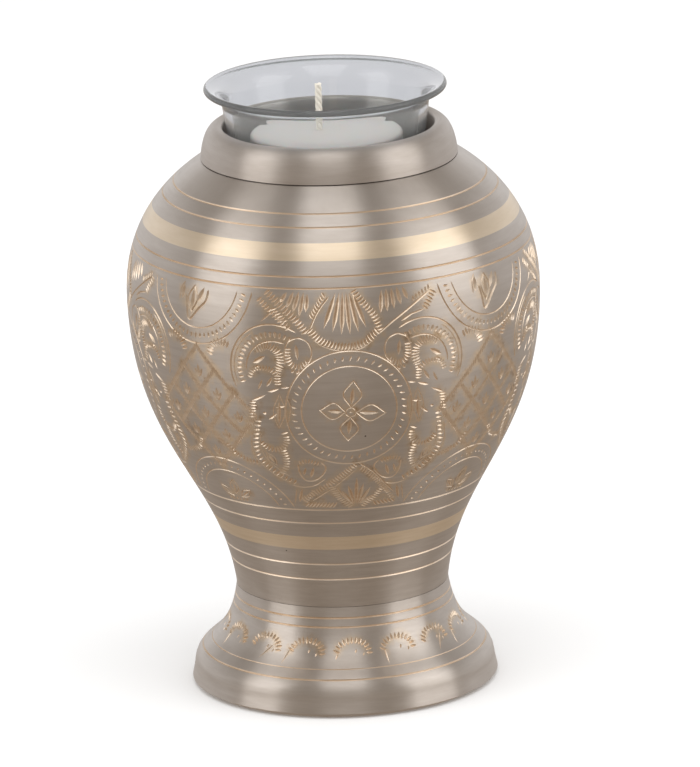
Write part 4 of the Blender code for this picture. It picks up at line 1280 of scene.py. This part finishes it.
foot_top = foot_outline.length
faint_line = float(np.interp(FAINT_LINE_HEIGHT, foot_outline.points[:, 1], foot_outline.along))
foot_lines = [(FOOT_RIM_LINE, LINE_WIDTH), (faint_line, FAINT_LINE_WIDTH)]
foot_lines += [(foot_top - distance, LINE_WIDTH) for distance in FOOT_TOP_LINES]
comb_low = faint_line + FAINT_LINE_WIDTH / 2
print("faint line at %.2f mm along the foot" % (faint_line / MM))
comb_high = foot_top - FOOT_TOP_LINES[-1] - LINE_WIDTH / 2
foot_belt = Belt(foot_outline, comb_low, comb_high)
for place in range(COMBS):
    foot_belt.cut(marks_of(comb(place), seed=30 + place), 2 * pi * place / COMBS - pi, COMB_MIDDLE)
flat_combs = foot_belt.flat_mesh("foot belt", rows=COMB_ROWS, steps=METAL_STEPS)
outline_object = piece("outline of the foot", polyline("outline of the foot", foot_outline.points))
rolled_combs = grown("rolled combs", flat_combs, ROLL, Outline=outline_object,
                     Flat_radius=float(foot_belt.radius), **FINISHES)
bpy.data.objects.remove(outline_object)

throat_radius = SPIGOT_RADIUS + FIT_GAP
inner_stations = np.linspace(foot_top, 0.0, FOOT_INNER_STATIONS)
inside = [foot_outline.at(distance) - foot_outline.outward(distance) * FOOT_WALL
          for distance in inner_stations]
inside = [point for point in inside if point[0] > throat_radius and point[1] > RIM_TOP.y
          and point[1] < body_low.z]
hollow = [(throat_radius, throat.y), (throat_radius, body_low.z)] + inside
hollow += [(SEAT_RADIUS - FOOT_WALL, 0.0), (SEAT_RADIUS, 0.0)]
rim_points, rim_finishes = stretch(foot_outline, 0.0, comb_low, foot_lines)
lower = turned("foot below the combs", hollow + list(rim_points),
               [PLAIN] * len(hollow) + rim_finishes + [PLAIN])
top_points, top_finishes = stretch(foot_outline, comb_high, foot_top, foot_lines)
upper = turned("foot above the combs", list(top_points) + [(throat_radius, throat.y)],
               top_finishes + [PLAIN, PLAIN])
foot_mesh = joined("flared_foot", [lower, rolled_combs, upper])
polish_normals(foot_mesh, foot_outline)
store_wear(foot_mesh, foot_belt.tree)
flared_foot = piece("flared_foot", foot_mesh)

# %% [markdown]
# ## The lid, the glass, the candle and the wick
#
# The lid is a rounded collar that slips over the neck and sinks into the body as a deep well. The glass
# cup stands in the well and spreads its thick lip over the collar. The candle is a low disc of wax with
# its wick off centre.


# %% The lid
COLLAR_CREST = Vector((27.9 * MM, lid_high.z))
COLLAR_ROUNDING = 2.1 * MM
LID_WALL = 1.6 * MM
WELL_INNER = NECK_INNER - FIT_GAP - LID_WALL

edge = Vector((SHOULDER.x, SHOULDER.y + FIT_GAP))
rise = COLLAR_CREST.y - edge.y
collar = interpolate_bezier(edge, edge + Vector((-0.05 * rise, 0.55 * rise)),
                            COLLAR_CREST + Vector((0.30 * rise, 0)), COLLAR_CREST, 24)
inner_edge = Vector((WELL_INNER, COLLAR_CREST.y - COLLAR_ROUNDING))
inner_corner = Vector((WELL_INNER, COLLAR_CREST.y))
rounding = interpolate_bezier(COLLAR_CREST, inner_corner, inner_corner, inner_edge, 12)
recess = body_high.z + FIT_GAP
sleeve = NECK_OUTER + FIT_GAP
well_floor = lid_low.z + LID_WALL
lid_section = [(0.0, lid_low.z), (WELL_INNER + LID_WALL, lid_low.z), (WELL_INNER + LID_WALL, recess),
               (sleeve, recess), (sleeve, edge.y)]
lid_section += [tuple(point) for point in collar + rounding[1:]]
lid_section += [(WELL_INNER, well_floor), (0.0, well_floor)]
turned_lid = turned("lid", lid_section, [PLAIN] * len(lid_section), METAL_STEPS, COLLAR_SET)
lid_mesh = joined("collar_lid", [turned_lid])
collar_lid = piece("collar_lid", lid_mesh)

# %% The glass cup
GLASS_STEPS = 160
CUP_SHIFT = (cup_low.x + cup_high.x) / 2
CUP_BASE_RADIUS = 22.4 * MM
CUP_MOUTH_RADIUS = 26.2 * MM
CUP_WALL = 2.0 * MM
CUP_FLOOR = 2.6 * MM
LIP_REACH = 4.0 * MM
LIP_THICKNESS = 1.6 * MM
FLARE_HEIGHT = 5.4 * MM


def cup_radius(height):
    """The outside of the cup's tapered wall."""
    share = (height - cup_low.z) / (cup_high.z - cup_low.z - LIP_THICKNESS)
    return CUP_BASE_RADIUS + (CUP_MOUTH_RADIUS - CUP_BASE_RADIUS) * share


def round_corner(before, corner, after, radius, count=8):
    """A rounded corner between two straight runs."""
    start = corner + (before - corner).normalized() * radius
    end = corner + (after - corner).normalized() * radius
    return interpolate_bezier(start, start.lerp(corner, 0.55), end.lerp(corner, 0.55), end, count)


top = cup_high.z
under_lip = top - LIP_THICKNESS
lip_half = LIP_THICKNESS / 2
wall_top = top - FLARE_HEIGHT
base_corner = Vector((cup_radius(cup_low.z), cup_low.z))
wall_point = Vector((cup_radius(wall_top), wall_top))
lip_tip = Vector((CUP_MOUTH_RADIUS + LIP_REACH - lip_half, top - lip_half))
under_start = Vector((lip_tip.x, under_lip))
section = [Vector((0, cup_low.z))]
section += round_corner(section[0], base_corner, wall_point, CUP_FLOOR / 2)
section += interpolate_bezier(wall_point, wall_point + Vector((0.06, 0.42)) * FLARE_HEIGHT,
                              under_start + Vector((-0.34, -0.06)) * FLARE_HEIGHT, under_start, 20)
for angle in np.linspace(0, pi, 13)[1:]:
    section.append(lip_tip + lip_half * Vector((sin(angle), -cos(angle))))
flare_foot = wall_point - Vector((CUP_WALL, 0))
lip_top = section[-1]
section += interpolate_bezier(lip_top, lip_top + Vector((-0.42, -0.08)) * FLARE_HEIGHT,
                              flare_foot + Vector((0.06, 0.50)) * FLARE_HEIGHT, flare_foot, 24)[1:]
cup_floor = cup_low.z + CUP_FLOOR
floor_corner = Vector((cup_radius(cup_floor) - CUP_WALL, cup_floor))
section += round_corner(flare_foot, floor_corner, Vector((0, cup_floor)), CUP_WALL)
section.append(Vector((0, cup_floor)))
turned_glass = turned("glass", section, [PLAIN] * len(section), GLASS_STEPS, GLASS_SET)
glass_mesh = joined("candle_glass", [turned_glass])
glass_mesh.transform(Matrix.Translation((CUP_SHIFT, 0, 0)))
candle_glass = piece("candle_glass", glass_mesh)

# %% The candle, with wax drawn up a little around the wick
CANDLE_STEPS = 128
CANDLE_EDGE = 0.9 * MM
WAX_CLIMB = 0.45 * MM
CLIMB_REACH = 2.4 * MM
WAX_DISH = 0.25 * MM
DISH_REACH = 9 * MM
WICK_PLACE = (wick_low + wick_high) / 2
candle_radius = -candle_low.y
candle_top = candle_high.z
foot_corner = Vector((candle_radius, candle_low.z))
top_corner = Vector((candle_radius, candle_top))
centre_top = Vector((0, candle_top))
section = [Vector((0, candle_low.z))]
section += round_corner(section[0], foot_corner, top_corner, CANDLE_EDGE, 5)
section += round_corner(foot_corner, top_corner, centre_top, CANDLE_EDGE, 8)
top_start = section[-1].x
section += [Vector((radius, candle_top)) for radius in np.linspace(top_start, 0, 28)[1:]]
turned_candle = turned("tealight", section, [PLAIN] * len(section), CANDLE_STEPS, WAX_SET)
candle_mesh = joined("tealight", [turned_candle])
candle_mesh.transform(Matrix.Translation(((candle_low.x + candle_high.x) / 2, 0, 0)))
for vert in candle_mesh.vertices:
    if vert.co.z > candle_top - 0.01 * MM:
        away = hypot(vert.co.x - WICK_PLACE.x, vert.co.y - WICK_PLACE.y)
        climb = WAX_CLIMB * max(0.0, 1 - away / CLIMB_REACH) ** 2
        vert.co.z += climb - WAX_DISH * max(0.0, 1 - (away / DISH_REACH) ** 2)
tealight = piece("tealight", candle_mesh)


# %% The wick: three strands that twist around each other
WICK_BURNT = 0.8 * MM
WICK_RADIUS = 0.9 * MM
WICK_TURNS = 2.6
STRANDS = 3
STRAND_SHARE = 0.52


def wick_tree():
    tree = new_tree("twisted wick", "GeometryNodeTree",
                    [("Height", "NodeSocketFloat", 0.014), ("Radius", "NodeSocketFloat", 0.0009),
                     ("Turns", "NodeSocketFloat", 3.0), ("Strands", "NodeSocketInt", 3),
                     ("Cotton", "NodeSocketMaterial", None)],
                    [("Geometry", "NodeSocketGeometry")])
    group_in = tree.nodes.new("NodeGroupInput")
    strand_radius = maths(tree, "MULTIPLY", group_in.outputs["Radius"], STRAND_SHARE)
    offset = maths(tree, "SUBTRACT", group_in.outputs["Radius"], strand_radius)
    spiral = add_node(tree, "GeometryNodeCurveSpiral", None, Resolution=18,
                      Rotations=group_in.outputs["Turns"], Start_Radius=offset, End_Radius=offset,
                      Height=group_in.outputs["Height"]).outputs[0]
    one = tree.nodes.new("GeometryNodePoints")
    tree.links.new(group_in.outputs["Strands"], one.inputs["Count"])
    index = tree.nodes.new("GeometryNodeInputIndex").outputs[0]
    share = maths(tree, "DIVIDE", index, group_in.outputs["Strands"])
    turn = add_node(tree, "ShaderNodeCombineXYZ", None, Z=maths(tree, "MULTIPLY", share, 2 * pi)).outputs[0]
    strands = add_node(tree, "GeometryNodeInstanceOnPoints", None, Points=one.outputs[0], Instance=spiral,
                       Rotation=turn).outputs[0]
    curves = add_node(tree, "GeometryNodeRealizeInstances", None, Geometry=strands).outputs[0]
    circle = add_node(tree, "GeometryNodeCurvePrimitiveCircle", None, Resolution=14, Radius=strand_radius)
    swept = add_node(tree, "GeometryNodeCurveToMesh", None, Curve=curves, Profile_Curve=circle.outputs[0],
                     Fill_Caps=True)
    real = add_node(tree, "GeometryNodeRealizeInstances", None, Geometry=swept.outputs[0]).outputs[0]
    smooth_faces = add_node(tree, "GeometryNodeSetShadeSmooth", None, Geometry=real).outputs[0]
    last = add_node(tree, "GeometryNodeSetMaterial", None, Geometry=smooth_faces,
                    Material=group_in.outputs["Cotton"]).outputs[0]
    put_out(tree, last)
    return tree


wick_height = wick_high.z - wick_low.z - WICK_BURNT
wick_mesh = grown("twisted_wick", bpy.data.meshes.new("nothing yet"), wick_tree(), Height=wick_height,
                  Radius=WICK_RADIUS, Turns=WICK_TURNS, Strands=STRANDS, Cotton=COTTON)
wick_mesh.transform(Matrix.Translation((WICK_PLACE.x, WICK_PLACE.y, wick_low.z)))
twisted_wick = piece("twisted_wick", wick_mesh)
print("wick:", len(wick_mesh.polygons), "faces")

# %% [markdown]
# ## The studio
#
# The floor is pale and the lamps are large and soft. Turned metal shows the side lamps as tall stripes,
# and a third lamp overhead lights the shoulder and the foot. The lamps are hidden from the camera. The
# room gives what the metal and the glass show between the lamps.

# %% The floor
FLOOR_RADIUS = 6.0

floor_mesh = bpy.data.meshes.new("floor")
floor_form = bmesh.new()
bmesh.ops.create_circle(floor_form, cap_ends=True, segments=64, radius=FLOOR_RADIUS)
floor_form.to_mesh(floor_mesh)
floor_form.free()
floor_finish, _, floor_shader = new_material("pale floor")
floor_shader.inputs["Base Color"].default_value = (0.95, 0.95, 0.95, 1.0)
floor_shader.inputs["Roughness"].default_value = 0.9
floor_shader.inputs["Specular IOR Level"].default_value = 0.1
floor_mesh.materials.append(floor_finish)
studio_floor = piece("studio_floor", floor_mesh)
studio_floor.visible_glossy = False
studio_floor.visible_transmission = False

# %% The camera
CAMERA_AZIMUTH = radians(-3.6)
CAMERA_ELEVATION = radians(15.58)
CAMERA_DISTANCE = 2.286
CAMERA_ROLL = radians(-1.79)
TARGET_HEIGHT = 75.7 * MM
SIDE_SHIFT = 3.4 * MM
LENS = 429.0
FILM_WIDTH = 36.0

aside = Vector((cos(CAMERA_AZIMUTH), sin(CAMERA_AZIMUTH), 0)) * SIDE_SHIFT
target = Vector((0, 0, TARGET_HEIGHT)) + aside
away = Vector((sin(CAMERA_AZIMUTH) * cos(CAMERA_ELEVATION), -cos(CAMERA_AZIMUTH) * cos(CAMERA_ELEVATION),
               sin(CAMERA_ELEVATION)))
camera_data = bpy.data.cameras.new("camera")
camera_data.lens = LENS
camera_data.sensor_width = FILM_WIDTH
camera = bpy.data.objects.new("camera", camera_data)
camera.location = target + away * CAMERA_DISTANCE
camera.rotation_mode = "QUATERNION"
camera.rotation_quaternion = away.to_track_quat("Z", "Y") @ Quaternion((0, 0, 1), CAMERA_ROLL)
bpy.context.collection.objects.link(camera)
bpy.context.scene.camera = camera


# %% The lamps
LAMP_AIM = Vector((0, 0, 90 * MM))


def softbox(name, azimuth, elevation, distance, size, power):
    """A rectangular lamp, placed by degrees from the camera's side and above the floor, aimed at the urn."""
    turn = CAMERA_AZIMUTH + radians(azimuth)
    height = radians(elevation)
    toward = Vector((sin(turn) * cos(height), -cos(turn) * cos(height), sin(height)))
    lamp_data = bpy.data.lights.new(name, "AREA")
    lamp_data.shape = "RECTANGLE"
    lamp_data.size, lamp_data.size_y = size
    lamp_data.energy = power
    lamp = bpy.data.objects.new(name, lamp_data)
    lamp.location = LAMP_AIM + toward * distance
    lamp.rotation_mode = "QUATERNION"
    lamp.rotation_quaternion = toward.to_track_quat("Z", "Y")
    lamp.visible_camera = False
    bpy.context.collection.objects.link(lamp)


softbox("left softbox", -68, 24, 1.3, (0.77, 1.3), 4.0)
softbox("right softbox", 71, 24, 1.3, (0.96, 1.3), 5.2)
softbox("overhead softbox", -1, 62, 1.3, (0.68, 1.3), 3.3)

# %% The room: white to the camera and to matt things, dim and warm in the metal with a pale wall behind
ROOM_FRONT = (0.40, 0.355, 0.308)
ROOM_BACK = (0.88, 0.87, 0.87)
ROOM_ABOVE = (0.44, 0.41, 0.38)
ROOM_BELOW = (0.40, 0.338, 0.280)
THROUGH_GLASS = (0.66, 0.66, 0.705)
BENT_ASIDE = (0.26, 0.28, 0.29)
WHITE = (1.0, 1.0, 1.0)

world = bpy.data.worlds.new("studio")
world.use_nodes = True
bpy.context.scene.world = world
world_tree = world.node_tree
direction = world_tree.nodes.new("ShaderNodeTexCoord").outputs["Generated"]
parts = add_node(world_tree, "ShaderNodeSeparateXYZ", None, Vector=direction)


def toward_share(axis, low, high):
    """A soft step from 0 to 1 as the direction turns along an axis."""
    return mapped(world_tree, parts.outputs[axis], low, high, kind="SMOOTHSTEP")


walls = blended(world_tree, toward_share(1, -0.3, 0.35), ROOM_FRONT, ROOM_BACK)
roofed = blended(world_tree, toward_share(2, 0.05, 0.60), walls, ROOM_ABOVE)
room = blended(world_tree, toward_share(2, 0.05, -0.35), roofed, ROOM_BELOW)
backdrop = blended(world_tree, toward_share(1, 0.85, 0.45), THROUGH_GLASS, BENT_ASIDE)
path_of_light = world_tree.nodes.new("ShaderNodeLightPath")
seen = blended(world_tree, path_of_light.outputs["Is Transmission Ray"], room, backdrop)
bright = maths(world_tree, "MAXIMUM", path_of_light.outputs["Is Camera Ray"],
               path_of_light.outputs["Is Diffuse Ray"])
shown = blended(world_tree, bright, seen, WHITE)
world_tree.links.new(shown, world_tree.nodes["Background"].inputs["Color"])
bpy.context.scene.view_settings.view_transform = "Standard"

# %% [markdown]
# ## In place of the solids
#
# Each dressed piece stands for one solid, which is hidden. Nothing moves on its own, so all of them ride
# on the root.

# %% What each piece stands for
for made, node, slot in ((engraved_body, "body", "metal"), (flared_foot, "foot", "metal"),
                         (collar_lid, "lid", "metal"), (candle_glass, "glass_cup", "glass"),
                         (tealight, "candle", "wax"), (twisted_wick, "wick", "wick")):
    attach(made, "root")
    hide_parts(node)
